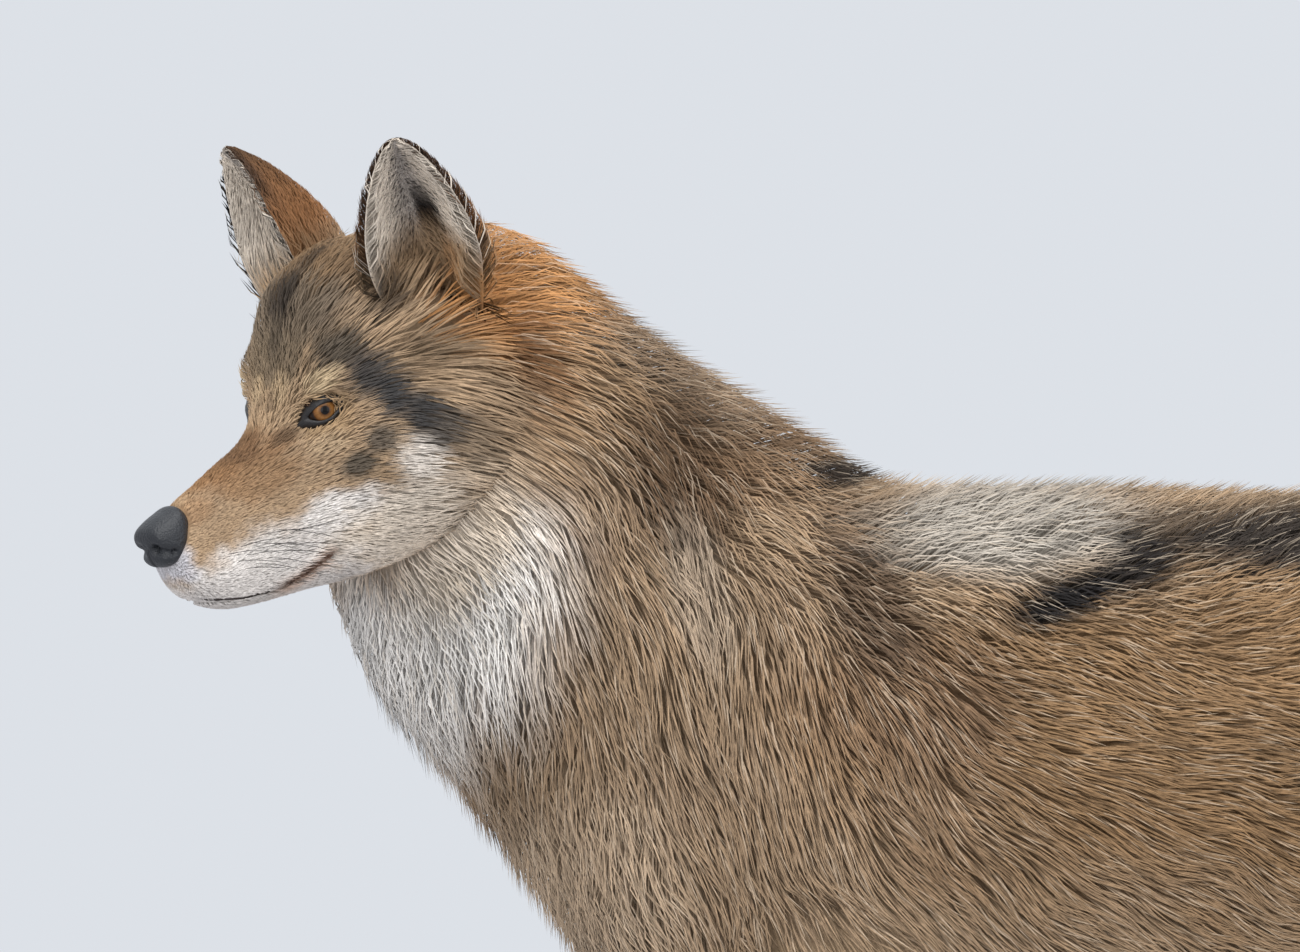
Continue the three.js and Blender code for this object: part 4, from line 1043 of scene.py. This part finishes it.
def hair_tone_group():
    """Fine streaks of light and dark in a colour."""
    group, given, out = new_group("hair_tone", [("Color", "Color"), ("Depth", "Float")], [("Color", "Color")])
    place = group.nodes.new("ShaderNodeTexCoord")
    noise = group.nodes.new("ShaderNodeTexNoise")
    noise.inputs["Scale"].default_value = 420
    noise.inputs["Detail"].default_value = 3
    spread = group.nodes.new("ShaderNodeMapRange")
    spread.inputs["From Min"].default_value = 0.3
    spread.inputs["From Max"].default_value = 0.7
    spread.inputs["To Max"].default_value = 1.12
    scale = group.nodes.new("ShaderNodeVectorMath")
    scale.operation = "SCALE"
    link = group.links.new
    link(place.outputs["Object"], noise.inputs["Vector"])
    link(noise.outputs["Fac"], spread.inputs["Value"])
    link(given.outputs["Depth"], spread.inputs["To Min"])
    link(given.outputs["Color"], scale.inputs[0])
    link(spread.outputs["Result"], scale.inputs["Scale"])
    link(scale.outputs["Vector"], out.inputs["Color"])
    return group


def pebble_group():
    """The pebbled grain of bare skin, as a normal."""
    group, given, out = new_group("pebble", [("Scale", "Float"), ("Strength", "Float")], [("Normal", "Vector")])
    place = group.nodes.new("ShaderNodeTexCoord")
    cells = group.nodes.new("ShaderNodeTexVoronoi")
    bump = group.nodes.new("ShaderNodeBump")
    bump.inputs["Distance"].default_value = 0.0006
    link = group.links.new
    link(place.outputs["Object"], cells.inputs["Vector"])
    link(given.outputs["Scale"], cells.inputs["Scale"])
    link(cells.outputs["Distance"], bump.inputs["Height"])
    link(given.outputs["Strength"], bump.inputs["Strength"])
    link(bump.outputs["Normal"], out.inputs["Normal"])
    return group


HAIR_TONE = hair_tone_group()
PEBBLE = pebble_group()


def new_material(name, colour=(0.5, 0.5, 0.5), roughness=0.5, specular=0.5):
    material = bpy.data.materials.new(name)
    material.use_nodes = True
    shader = material.node_tree.nodes["Principled BSDF"]
    shader.inputs["Base Color"].default_value = (*colour, 1)
    shader.inputs["Roughness"].default_value = roughness
    shader.inputs["Specular IOR Level"].default_value = specular
    return material, shader


def painted_material(name, roughness, low):
    """Takes its colour from the marks stored on the mesh."""
    material, shader = new_material(name, roughness=roughness, specular=0.2)
    tree = material.node_tree
    marks = tree.nodes.new("ShaderNodeAttribute")
    marks.attribute_name = "coat"
    tones = tree.nodes.new("ShaderNodeGroup")
    tones.node_tree = HAIR_TONE
    tones.inputs["Depth"].default_value = low
    tree.links.new(marks.outputs["Color"], tones.inputs["Color"])
    tree.links.new(tones.outputs["Color"], shader.inputs["Base Color"])
    return material


def leather_material(name, colour, roughness, scale, strength):
    material, shader = new_material(name, colour, roughness)
    tree = material.node_tree
    grain = tree.nodes.new("ShaderNodeGroup")
    grain.node_tree = PEBBLE
    grain.inputs["Scale"].default_value = scale
    grain.inputs["Strength"].default_value = strength
    tree.links.new(grain.outputs["Normal"], shader.inputs["Normal"])
    return material


def eye_material():
    """Pupil, iris with its streaks, dark rim and white, by the distance from the line of gaze."""
    material, shader = new_material("eye", roughness=0.1, specular=0.12)
    shader.inputs["Coat Weight"].default_value = 0.2
    shader.inputs["Coat Roughness"].default_value = 0.02
    tree = material.node_tree
    gaze = tree.nodes.new("ShaderNodeAttribute")
    gaze.attribute_name = "gaze"
    parts = tree.nodes.new("ShaderNodeSeparateXYZ")
    rings = tree.nodes.new("ShaderNodeValToRGB")
    stops = [
        (0.0, (0.004, 0.003, 0.003)),
        (0.19, (0.004, 0.003, 0.003)),
        (0.225, tone(92, 58, 28)),
        (0.36, tone(142, 98, 52)),
        (0.53, tone(120, 78, 40)),
        (0.6, tone(60, 38, 22)),
        (0.66, tone(26, 19, 16)),
        (0.76, tone(50, 36, 28)),
        (1.0, tone(64, 46, 36)),
    ]
    ramp_stops = rings.color_ramp.elements
    while len(ramp_stops) < len(stops):
        ramp_stops.new(1)
    for stop, (at, colour) in zip(ramp_stops, stops):
        stop.position = at
        stop.color = (*colour, 1)
    streaks = tree.nodes.new("ShaderNodeTexNoise")
    streaks.inputs["Scale"].default_value = 9
    streaks.inputs["Detail"].default_value = 4
    shade = tree.nodes.new("ShaderNodeMapRange")
    shade.inputs["From Min"].default_value = 0.3
    shade.inputs["From Max"].default_value = 0.7
    shade.inputs["To Min"].default_value = 0.7
    shade.inputs["To Max"].default_value = 1.25
    mixed = tree.nodes.new("ShaderNodeVectorMath")
    mixed.operation = "SCALE"
    around = tree.nodes.new("ShaderNodeAttribute")
    around.attribute_name = "around"
    link = tree.links.new
    link(gaze.outputs["Vector"], parts.inputs["Vector"])
    link(parts.outputs["X"], rings.inputs["Fac"])
    link(around.outputs["Vector"], streaks.inputs["Vector"])
    link(streaks.outputs["Fac"], shade.inputs["Value"])
    link(rings.outputs["Color"], mixed.inputs[0])
    link(shade.outputs["Result"], mixed.inputs["Scale"])
    link(mixed.outputs["Vector"], shader.inputs["Base Color"])
    return material


FUR = painted_material("fur", 0.6, 0.82)
SKIN = painted_material("under_coat", 0.85, 0.7)
EYE_LOOK = eye_material()
LID_LOOK = leather_material("lid", tone(26, 22, 21), 0.32, 1400, 0.2)
NOSE_LOOK = leather_material("nose_leather", tone(36, 38, 42), 0.36, 760, 0.6)
LIP_LOOK = leather_material("lip", tone(48, 34, 28), 0.4, 900, 0.3)
PAD_LOOK = leather_material("pad", tone(52, 46, 44), 0.6, 500, 0.7)
CLAW_LOOK = new_material("horn", tone(60, 50, 44), 0.35)[0]
WHISKER_LOOK = new_material("whisker", tone(40, 34, 30), 0.4)[0]


# ---- Planting the coat -----------------------------------------------------------------------------------

EAR_COAT = {"back": (6.5, 2.0), "cup": (7.0, 2.6), "rim": 9.0}


def ear_guides(name):
    """Guides of an ear: hairs run to its tip outside, and cross the cup from its rims inside."""
    form = ear_form(EARS[name])

    def lie(p, along, s, turn):
        away = unit(form.at(s, turn + 0.02) - form.at(s, turn - 0.02))
        return along + away * (0.35 * (np.sin(turn) < 0) * np.sign(np.cos(turn)))[:, None] * -1

    g = guides_on(form, 40, 40, lie, "ear", f"ear_{name}")
    share = g["uv"][:, 1]
    turn = g["uv"][:, 0] * 2 * np.pi - np.pi
    back = np.sin(turn) > 0
    (low, high), (low_in, high_in) = EAR_COAT["back"], EAR_COAT["cup"]
    rim = EAR_COAT["rim"] * ramp(np.abs(np.cos(turn)), 0.7, 0.95)
    plain = np.where(back, low + (high - low) * share, low_in + (high_in - low_in) * share)
    g["depth"] = plain + rim * (1 - share) ** 2
    g["length"] = g["depth"] * COAT["ear"]["ratio"]
    return g


def ear_colour(uv, outer):
    """Rust behind, grey in the cup with pale rims, and painted black shade at the canal, from a place on the
    ear's own map.
    outer says which way round the outer rim lies."""
    turn = uv[:, 0] * 2 * np.pi - np.pi
    share = uv[:, 1]
    edge = np.abs(np.cos(turn))
    behind = laid_over(np.tile(tone(150, 104, 66), (len(uv), 1)), tone(100, 72, 48), ramp(share, 0.3, 0.85))
    behind = laid_over(behind, tone(72, 52, 38), ramp(edge, 0.8, 1) * ramp(share, 0.3, 0.7))
    cup = laid_over(np.tile(tone(178, 169, 160), (len(uv), 1)), tone(238, 224, 206), ramp(edge, 0.2, 0.7))
    # painted shade: the canal near the foot of the cup is painted black as the shade deep in the ear
    canal = np.abs(np.cos(turn) * outer - 0.34)
    cup = laid_over(cup, tone(28, 23, 22), (1 - ramp(share, 0.34, 0.6)) * (1 - ramp(canal, 0.12, 0.36)))
    return np.where((np.sin(turn) > 0)[:, None], behind, cup)


def colours_at(points, names, uv):
    """The colour of the coat at points whose nearest guides have these names and places on their maps."""
    colour = np.zeros((len(points), 3))
    for name in np.unique(names):
        here = names == name
        if name == "head":
            colour[here] = head_colour(to_head(points[here]))
        elif name == "trunk":
            near, _ = on_skin(head_tree, points[here])
            beside = 1 - ramp(np.linalg.norm(points[here] - near, axis=1), 8, 55)
            beside *= 1 - ramp(points[here][:, 2], 835, 875)
            colour[here] = laid_over(body_colour(points[here]), head_colour(to_head(near)), beside)
        elif name == "tail":
            colour[here] = tail_colour(points[here])
        elif name.startswith("ear"):
            own = ear_colour(uv[here], 1 if name == "ear_left" else -1)
            foot = 1 - ramp(uv[here][:, 1], 0.15, 0.38)
            colour[here] = laid_over(own, head_colour(to_head(points[here])), foot)
        else:
            limb, side = name.split("_")
            colour[here] = leg_colour(points[here], FEET[limb, side], limb)
    return colour


def tuft_width(depth, part):
    low = np.array([COAT[p]["width"][0] for p in part])
    high = np.array([COAT[p]["width"][1] for p in part])
    return low + (high - low) * ramp(depth, 1.5, 16)


def per_guide(guides, key):
    return np.array([COAT[p][key] for p in guides["part"]])


SWIRL = {"wide": 0.38, "fine": 0.34}  # how far the lie wanders to its sides


def plant(mesh, guides):
    """Roots over a mesh with all that is known of the tufts that stand in them."""
    width = tuft_width(guides["depth"], guides["part"])
    density = per_guide(guides, "cover") / (np.maximum(guides["length"], 2) * width * 0.7)
    roots, normals = scattered(mesh, lambda middles: density[nearest_of(guides["at"], middles)])
    near = nearest_of(guides["at"], roots)
    count = len(roots)
    t = {key: guides[key][near] for key in ("lie", "depth", "loose", "uv", "part", "name")}
    t["root"], t["normal"] = roots, normals
    away = roots - guides["at"][near]
    for k, step in enumerate((guides["u_step"][near], guides["v_step"][near])):
        move = (away * step).sum(1) / np.maximum((step * step).sum(1), 1)
        t["uv"][:, k] = np.clip(t["uv"][:, k] + np.clip(move, -0.01, 0.01), 0, 1)
    t["length"] = guides["length"][near] * rng.uniform(0.72, 1.22, count)
    t["width"] = width[near] * rng.uniform(0.75, 1.2, count)
    t["stray"] = per_guide(guides, "stray")[near]
    t["stand"] = rng.uniform(0.6, 1.08, count)
    t["roll"] = rng.normal(0, 0.35, count)
    swirl = SWIRL["wide"] * cloud(roots, 70, 8) + SWIRL["fine"] * cloud(roots, 24, 9)
    swirl *= np.isin(t["part"], ["trunk", "tail"]) * 0.8 + 0.2
    t["lie"] = unit(t["lie"] + rng.normal(0, 0.1, (count, 3)) + np.cross(normals, t["lie"]) * swirl[:, None])
    return t


def kept(t, mask):
    return {key: value[mask] for key, value in t.items()}


# painted shade: each tuft is darker at its root, deep in the coat, and lighter at its tip
SHADE = {"root": 0.92, "tip": 1.08}
GRIZZLE = {"dark": 0.14, "pale": 0.86}  # draws below the first and above the second, on trunk and tail


def coloured(t):
    """Gives tufts the colour of the marks between their middles and tips, with stray pale and dark tips."""
    seen = t["middle"] * 0.5 + t["tip"] * 0.5
    colour = colours_at(seen, t["name"], t["uv"])
    count = len(colour)
    patchy = 0.16 * cloud(seen, 44, 11) + 0.12 * cloud(seen, 13, 12)
    shade = np.exp(rng.normal(0, 1, count) * t["stray"] + patchy)[:, None]
    t["root_colour"] = colour * shade * SHADE["root"]
    t["tip_colour"] = colour * shade * SHADE["tip"]
    grizzled = np.isin(t["part"], ["trunk", "tail"])
    chance = rng.random(count)
    t["tip_colour"][grizzled & (chance < GRIZZLE["dark"])] *= 0.5
    pale = grizzled & (chance > GRIZZLE["pale"])
    t["tip_colour"][pale] = t["tip_colour"][pale] * 0.45 + CREAM * 0.55
    return t


PIECE_LIMIT = 185_000
TRIANGLES = {"spike": 4, "short": 10, "long": 16}


def make_coat(name, t, style):
    """One or more pieces of coat, each small enough for one mesh."""
    parts = max(1, math.ceil(len(t["root"]) * TRIANGLES[style] / PIECE_LIMIT))
    order = np.argsort(t["root"][:, 0])
    for i, chosen in enumerate(np.array_split(order, parts)):
        piece = grow(f"{name}_{i + 1}" if parts > 1 else name, kept(t, chosen), style, FUR)
        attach(piece, "root")


def paint_skin(piece, guides, darker):
    """Stores the marks of the coat on a skin, darker than the coat over it, as painted shade deep in the coat."""
    co, _, _ = arrays(piece.data)
    points = co / MM - SHIFT
    near = nearest_of(guides["at"], points)
    colour = np.ones((len(points), 4))
    # painted shade: the skin between the tufts is darker than the coat over it
    colour[:, :3] = colours_at(points, guides["name"][near], guides["uv"][near]) * darker
    paint = piece.data.attributes.new("coat", "FLOAT_COLOR", "POINT")
    paint.data.foreach_set("color", colour.astype(np.float32).ravel())
    piece.data.materials.append(SKIN)


# ---- Eyes, lids, nose and mouth --------------------------------------------------------------------------

GAZE_OFF = {"back": 0.1, "up": -0.05}
CORNEA = {"angle": 36, "rise": 1.1}
SLIT = {"inner": (10.8, 9.8, 3.3, 6.0), "outer": (14.2, 22.5, 7.8, 7.8), "lip": 2.2}


def make_eye(name):
    side = SIDES[name]
    centre, out, along, up = eye_axes(side)
    gaze = unit(out + along * GAZE_OFF["back"] + up * GAZE_OFF["up"])
    across = unit(along - gaze * (along @ gaze))
    rise = np.cross(gaze, across)
    bm = bmesh.new()
    bmesh.ops.create_uvsphere(bm, u_segments=72, v_segments=64, radius=1)
    ball = np.array([v.co for v in bm.verts])
    angle = np.degrees(np.arccos(np.clip(ball[:, 2], -1, 1)))
    bulge = CORNEA["rise"] * np.clip(1 - (angle / CORNEA["angle"]) ** 2, 0, 1)
    way = ball[:, :1] * across + ball[:, 1:2] * rise + ball[:, 2:] * gaze
    points = placed(head_point(centre + way * (EYE["radius"] + bulge)[:, None]))
    for corner, point in zip(bm.verts, points):
        corner.co = point
    piece = new_object(f"eyeball_{name}", turned_out(bm))
    far = np.where(ball[:, 2] > 0, np.hypot(ball[:, 0], ball[:, 1]), 1)
    turn = np.arctan2(ball[:, 1], ball[:, 0])
    around = stack(np.cos(turn) * 2, np.sin(turn) * 2, far * 0.4)
    for label, values in (("gaze", stack(far, 0, 0)), ("around", around)):
        store = piece.data.attributes.new(label, "FLOAT_VECTOR", "POINT")
        store.data.foreach_set("vector", values.astype(np.float32).ravel())
    piece.data.materials.append(EYE_LOOK)
    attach(piece, "root")
    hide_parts(f"eye_{name}")


def almond(sizes, u):
    """The point of an almond at angle u. Its sizes are the reach to the outer and to the inner corner, and
    the height above and below."""
    outer, inner, above, below = sizes
    c, s = np.cos(u), np.sin(u)
    return np.where(c > 0, outer, inner) * c, np.where(s > 0, above, below) * s * (1 - 0.3 * c * c)


def make_lids(name, head_tree):
    """A dark rim round the eye, from the eyeball out onto the skin, closed like a ring."""
    centre, out, along, up = eye_axes(SIDES[name])
    around, section = 96, 12
    bm = bmesh.new()
    bmesh.ops.create_grid(bm, x_segments=around, y_segments=section, size=0.5)
    grid = np.array([v.co for v in bm.verts])
    u, v = (grid[:, 0] + 0.5) * 2 * np.pi, (grid[:, 1] + 0.5) * 2 * np.pi
    across = (1 - np.cos(v)) / 2
    a0, b0 = almond(SLIT["inner"], u)
    a1, b1 = almond(SLIT["outer"], u)
    reach = EYE["radius"] + 0.5
    deep = np.sqrt(np.maximum(reach**2 - a0**2 - b0**2, 4))
    inner = centre + along * a0[:, None] + up * b0[:, None] + out * deep[:, None]
    aim = centre + along * a1[:, None] + up * b1[:, None] + out * (EYE["radius"] - 1)
    outer, _ = on_skin(head_tree, head_point(aim))
    inner = head_point(inner)
    way = unit(head_point(centre + out) - head_point(centre))
    lift = (np.sin(v) * SLIT["lip"] * 0.9)[:, None] * way
    points = inner + (outer - inner) * across[:, None] + lift
    for corner, point in zip(bm.verts, placed(points)):
        corner.co = point
    bmesh.ops.remove_doubles(bm, verts=bm.verts, dist=0.00003)
    piece = new_object(f"lids_{name}", turned_out(bm))
    piece.data.materials.append(LID_LOOK)
    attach(piece, "root")


NOSTRILS = [(2.5, 8.6, -2.5, 4.0, 9.0), (5.5, 13, -5.0, 3.0, 5.0), (9, 16.5, -7.5, 2.6, 3.6)]


def make_nose():
    bm = bmesh.new()

    def place(share, turn):
        p = NOSE.at(NOSE.spot(share), turn)
        middle = np.array([16.0, 0, 0])
        inward = unit(middle - p)
        for back, side, up, spread, deep in NOSTRILS:
            away = np.linalg.norm(stack(p[:, 0] - back, np.abs(p[:, 1]) - side, p[:, 2] - up), axis=1)
            p = p + inward * (deep * bell(away, spread))[:, None]
        groove = bell(p[:, 1], 0.9) * (1 - ramp(p[:, 2], -2, 4)) * (1 - ramp(p[:, 0], 8, 14))
        return head_point(p + inward * groove[:, None] * 1.4)

    add_loft(bm, place, 110, 120)
    piece = new_object("nose_leather", bm)
    piece.data.materials.append(NOSE_LOOK)
    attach(piece, "root")
    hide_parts("nose")
    return piece


def make_lips():
    """A dark cord of bare lip along the mouth on each side."""
    bm = bmesh.new()
    back = np.linspace(12, 106, 48)

    def lip(side):
        skin = np.array([lip_spot(b, side) for b in back])

        def place(share, turn):
            i = share * (len(back) - 1)
            centre = stack(*(np.interp(i, np.arange(len(back)), skin[:, k]) for k in range(3)))
            size = 1.5 * np.sqrt(np.clip(np.sin(share * np.pi), 0, 1))
            return head_point(centre + stack(0, side * np.cos(turn) * size * 0.6, np.sin(turn) * size))

        return place

    for side in (-1, 1):
        add_loft(bm, lip(side), 90, 12)
    piece = new_object("lips", bm)
    piece.data.materials.append(LIP_LOOK)
    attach(piece, "root")


def lip_spot(back, side):
    """The place on the side of the skull at the line of the mouth."""
    s = np.interp(back, SKULL.rows[:, 0], np.arange(len(SKULL.rows)))
    turn = np.linspace(0.5, np.pi - 0.3, 120) * side
    p = SKULL.at(np.full(len(turn), s), turn, 1)
    return p[np.argmin(np.abs(p[:, 2] - mouth_at(back)))]


def make_whiskers(head_tree):
    """Long stiff hairs on the upper lip, and a few over the eye."""
    starts = []
    for side in (-1, 1):
        for row, up in enumerate((-20, -27, -34)):
            for k in range(5):
                starts.append(((36 + k * 9 + row * 3, side * 30, up), side, 42 - 3 * row + k * 2))
        starts += [((128 + k * 5, side * 34, 62), side, 30) for k in range(3)]
    at = head_point(np.array([s[0] for s in starts], float))
    root, normal = on_skin(head_tree, at)
    side = np.array([s[1] for s in starts])
    length = np.array([s[2] for s in starts], float)[:, None]
    lie = unit(to_body(stack(0.8, side * 0.55, -0.3 + 0 * side)) + rng.normal(0, 0.1, (len(starts), 3)))
    t = {
        "root": root,
        "normal": normal,
        "middle": root + lie * length * 0.5 + normal * 4,
        "tip": root + lie * length - np.array([0, 0, 4]),
        "width": np.full(len(starts), 0.45),
        "roll": np.zeros(len(starts)),
        "uv": stack(np.linspace(0.1, 0.9, len(starts)), 0.5),
        "root_colour": np.tile(BLACK, (len(starts), 1)),
        "tip_colour": np.tile(BLACK, (len(starts), 1)),
    }
    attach(grow("whiskers", t, "long", WHISKER_LOOK), "root")


# ---- Claws and pads --------------------------------------------------------------------------------------

DEWCLAW = {"x": -14, "inset": 4, "up": 118, "drop": 52, "half": 27}


def dewclaw_at(foot, side):
    base = np.array([CLAW_ROWS[0][0], 0, CLAW_ROWS[0][1]])
    drop = -math.radians(DEWCLAW["drop"])
    form = claw_form((0, 0), (0, 0, 0), 1)

    def place(share, turn):
        p = form.at(form.spot(share), turn) - base
        x = p[:, 0] * math.cos(drop) + p[:, 2] * math.sin(drop)
        z = p[:, 2] * math.cos(drop) - p[:, 0] * math.sin(drop)
        inner = foot[1] - side * (DEWCLAW["half"] - DEWCLAW["inset"])
        return stack(x + foot[0] + DEWCLAW["x"], p[:, 1] + inner, z + DEWCLAW["up"])

    return place


def make_claws():
    bm = bmesh.new()
    names = []
    for (limb, name), foot in FEET.items():
        for i, toe in enumerate(TOES):
            add_form(bm, claw_form(foot, toe, PAW_SCALE[limb]), 24, 20)
            names.append(f"{limb}_claw_{name}_{i + 1}")
        if limb == "front":
            add_loft(bm, dewclaw_at(foot, SIDES[name]), 24, 20)
            names.append(f"front_dewclaw_{name}")
    piece = new_object("horn_claws", bm)
    piece.data.materials.append(CLAW_LOOK)
    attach(piece, "root")
    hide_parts(*names)


def make_pads():
    """Toe pads and the large pad behind them, flat to the floor."""
    bm = bmesh.new()
    for (limb, _), foot in FEET.items():
        scale = PAW_SCALE[limb]
        pads = [((-40, 0), (15, 10.5), toe) for toe in TOES] + [((8, 0), (21, 24), (0, 0, 0))]
        for (x, y), (long, wide), toe in pads:

            def place(share, turn):
                ring = np.sin(share * np.pi)
                high = 4.5 + 4.2 * np.cos(share * np.pi)
                p = stack(x + long * ring * np.cos(turn), y + wide * ring * np.sin(turn), high)
                return set_toe(p, foot, toe, scale)

            add_loft(bm, place, 16, 24)
    piece = new_object("paw_pads", bm)
    piece.data.materials.append(PAD_LOOK)
    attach(piece, "root")


# ---- The whole wolf --------------------------------------------------------------------------------------

FLESH = ["head", "lower_jaw", "ear_left", "ear_right", "neck", "chest", "torso", "tail"]
for limb_name in ("left", "right"):
    FLESH += [f"front_forearm_{limb_name}", f"front_pastern_{limb_name}", f"front_paw_{limb_name}"]
    FLESH += [f"hind_thigh_{limb_name}", f"hind_shank_{limb_name}", f"hind_paw_{limb_name}"]


def clear_of_eyes(p):
    """Which places of the head lie outside the rims of both eyes."""
    clear = np.ones(len(p), bool)
    outer, inner, above, below = SLIT["outer"]
    for side in (-1, 1):
        centre, out, along, up = eye_axes(side)
        away = p - centre
        a, b, deep = away @ along, away @ up, away @ out
        high = np.where(b > 0, above, below)
        half = np.where(a > 0, outer, inner)
        clear &= ((a / half) ** 2 + (b / high) ** 2 > 0.95) | (deep < 0)
    return clear


body = make_body_skin()
head = make_head_skin()
ears = {name: make_ear_skin(name) for name in SIDES}
nose = make_nose()
body_tree, head_tree, nose_tree = tree_of(body.data), tree_of(head.data), tree_of(nose.data)

guides = all_guides()
on_head = guides["name"] == "head"
head_guides, body_guides = kept(guides, on_head), kept(guides, ~on_head)

hairs = plant(body.data, body_guides)
hairs = kept(hairs, outside(head_tree, hairs["root"]))
from_head = np.linalg.norm(hairs["root"] - on_skin(head_tree, hairs["root"])[0], axis=1)
under_cheek = (1 - ramp(from_head, 5, 75)) * (1 - ramp(hairs["root"][:, 2], 845, 900))
hairs["depth"] *= 1 - 0.6 * under_cheek
hairs["length"] *= 1 - 0.25 * under_cheek
beside = (1 - ramp(from_head, 8, 90))[:, None]
cheek_lie = head_guides["lie"][nearest_of(head_guides["at"], hairs["root"])]
hairs["lie"] = unit(hairs["lie"] * (1 - 0.7 * beside) + cheek_lie * 0.7 * beside)
hairs = coloured(lay(body_tree, hairs, clump=0.16, cluster=9))
trunk = hairs["name"] == "trunk"
neck = trunk & (hairs["root"][:, 0] < -30)
tail_hairs = hairs["name"] == "tail"
make_coat("ruff_coat", kept(hairs, neck), "short")
make_coat("body_coat", kept(hairs, trunk & ~neck), "short")
make_coat("tail_coat", kept(hairs, tail_hairs), "long")
make_coat("leg_coat", kept(hairs, ~trunk & ~tail_hairs), "spike")

hairs = plant(head.data, head_guides)
own = to_head(hairs["root"])
clear = outside(body_tree, hairs["root"]) & outside(nose_tree, hairs["root"]) & clear_of_eyes(own)
clear &= (np.abs(own[:, 2] - mouth_at(own[:, 0])) > 1.3) | (mouth_share(own) < 0.5)
hairs = coloured(lay(head_tree, kept(hairs, clear), clump=0.24, cluster=10))
muzzle = to_head(hairs["root"])[:, 0] < 112
make_coat("muzzle_coat", kept(hairs, muzzle), "short")
make_coat("head_coat", kept(hairs, ~muzzle), "short")

for name, ear in ears.items():
    ear_tree = tree_of(ear.data)
    its_guides = ear_guides(name)
    hairs = plant(ear.data, its_guides)
    hairs = coloured(lay(ear_tree, kept(hairs, outside(head_tree, hairs["root"])), clump=0.2, cluster=9))
    make_coat(f"ear_coat_{name}", hairs, "short")
    guides = {key: np.concatenate([guides[key], its_guides[key]]) for key in guides}

skin = one_skin(body, head, *ears.values())
paint_skin(skin, guides, 0.77)
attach(skin, "root")
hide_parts(*FLESH)

for name in SIDES:
    make_eye(name)
    make_lids(name, head_tree)
make_lips()
make_whiskers(head_tree)
make_claws()
make_pads()

# ---- Studio ----------------------------------------------------------------------------------------------

CAMERA_AWAY = 9.0
PICTURE = {"wide": 1300, "mm_a_pixel": 0.633, "left": -145.6, "near": -80, "up": 0.795}
FLOOR_HALF = 12.0

picture = bpy.data.cameras.new("camera")
picture.sensor_width = 36
picture.lens = 36 * CAMERA_AWAY / (PICTURE["wide"] * PICTURE["mm_a_pixel"] * MM)
picture.clip_end = 60
camera = bpy.data.objects.new("camera", picture)
camera.location = (
    (PICTURE["left"] + SHIFT[0]) * MM,
    (PICTURE["near"] + SHIFT[1]) * MM - CAMERA_AWAY,
    PICTURE["up"],
)
camera.rotation_euler = (math.radians(90), 0, 0)
bpy.context.scene.collection.objects.link(camera)
bpy.context.scene.camera = camera


def make_floor():
    """A plain pale floor, open on every side."""
    bm = bmesh.new()
    bmesh.ops.create_grid(bm, x_segments=1, y_segments=1, size=FLOOR_HALF)
    floor = new_object("floor", bm)
    floor.data.materials.append(new_material("floor", tone(184, 184, 188), 0.9, 0.1)[0])


def add_light(name, location, power, size, aim=(0, 0, 0.6)):
    light = bpy.data.lights.new(name, "AREA")
    light.energy, light.size = power, size
    lamp = bpy.data.objects.new(name, light)
    lamp.location = location
    lamp.rotation_euler = (Vector(aim) - Vector(location)).to_track_quat("-Z", "Y").to_euler()
    bpy.context.scene.collection.objects.link(lamp)


make_floor()
add_light("sky", (-0.4, -1.5, 4.2), 125, 4.5)
add_light("front", (-2.2, -4.2, 1.2), 70, 3.6)
add_light("fill", (2.8, -3.0, 1.6), 30, 3.0)
world = bpy.data.worlds.new("pale")
world.use_nodes = True
world.node_tree.nodes["Background"].inputs["Color"].default_value = (0.9, 0.94, 1.0, 1)
world.node_tree.nodes["Background"].inputs["Strength"].default_value = 0.8
bpy.context.scene.world = world
bpy.context.scene.view_settings.view_transform = "Standard"
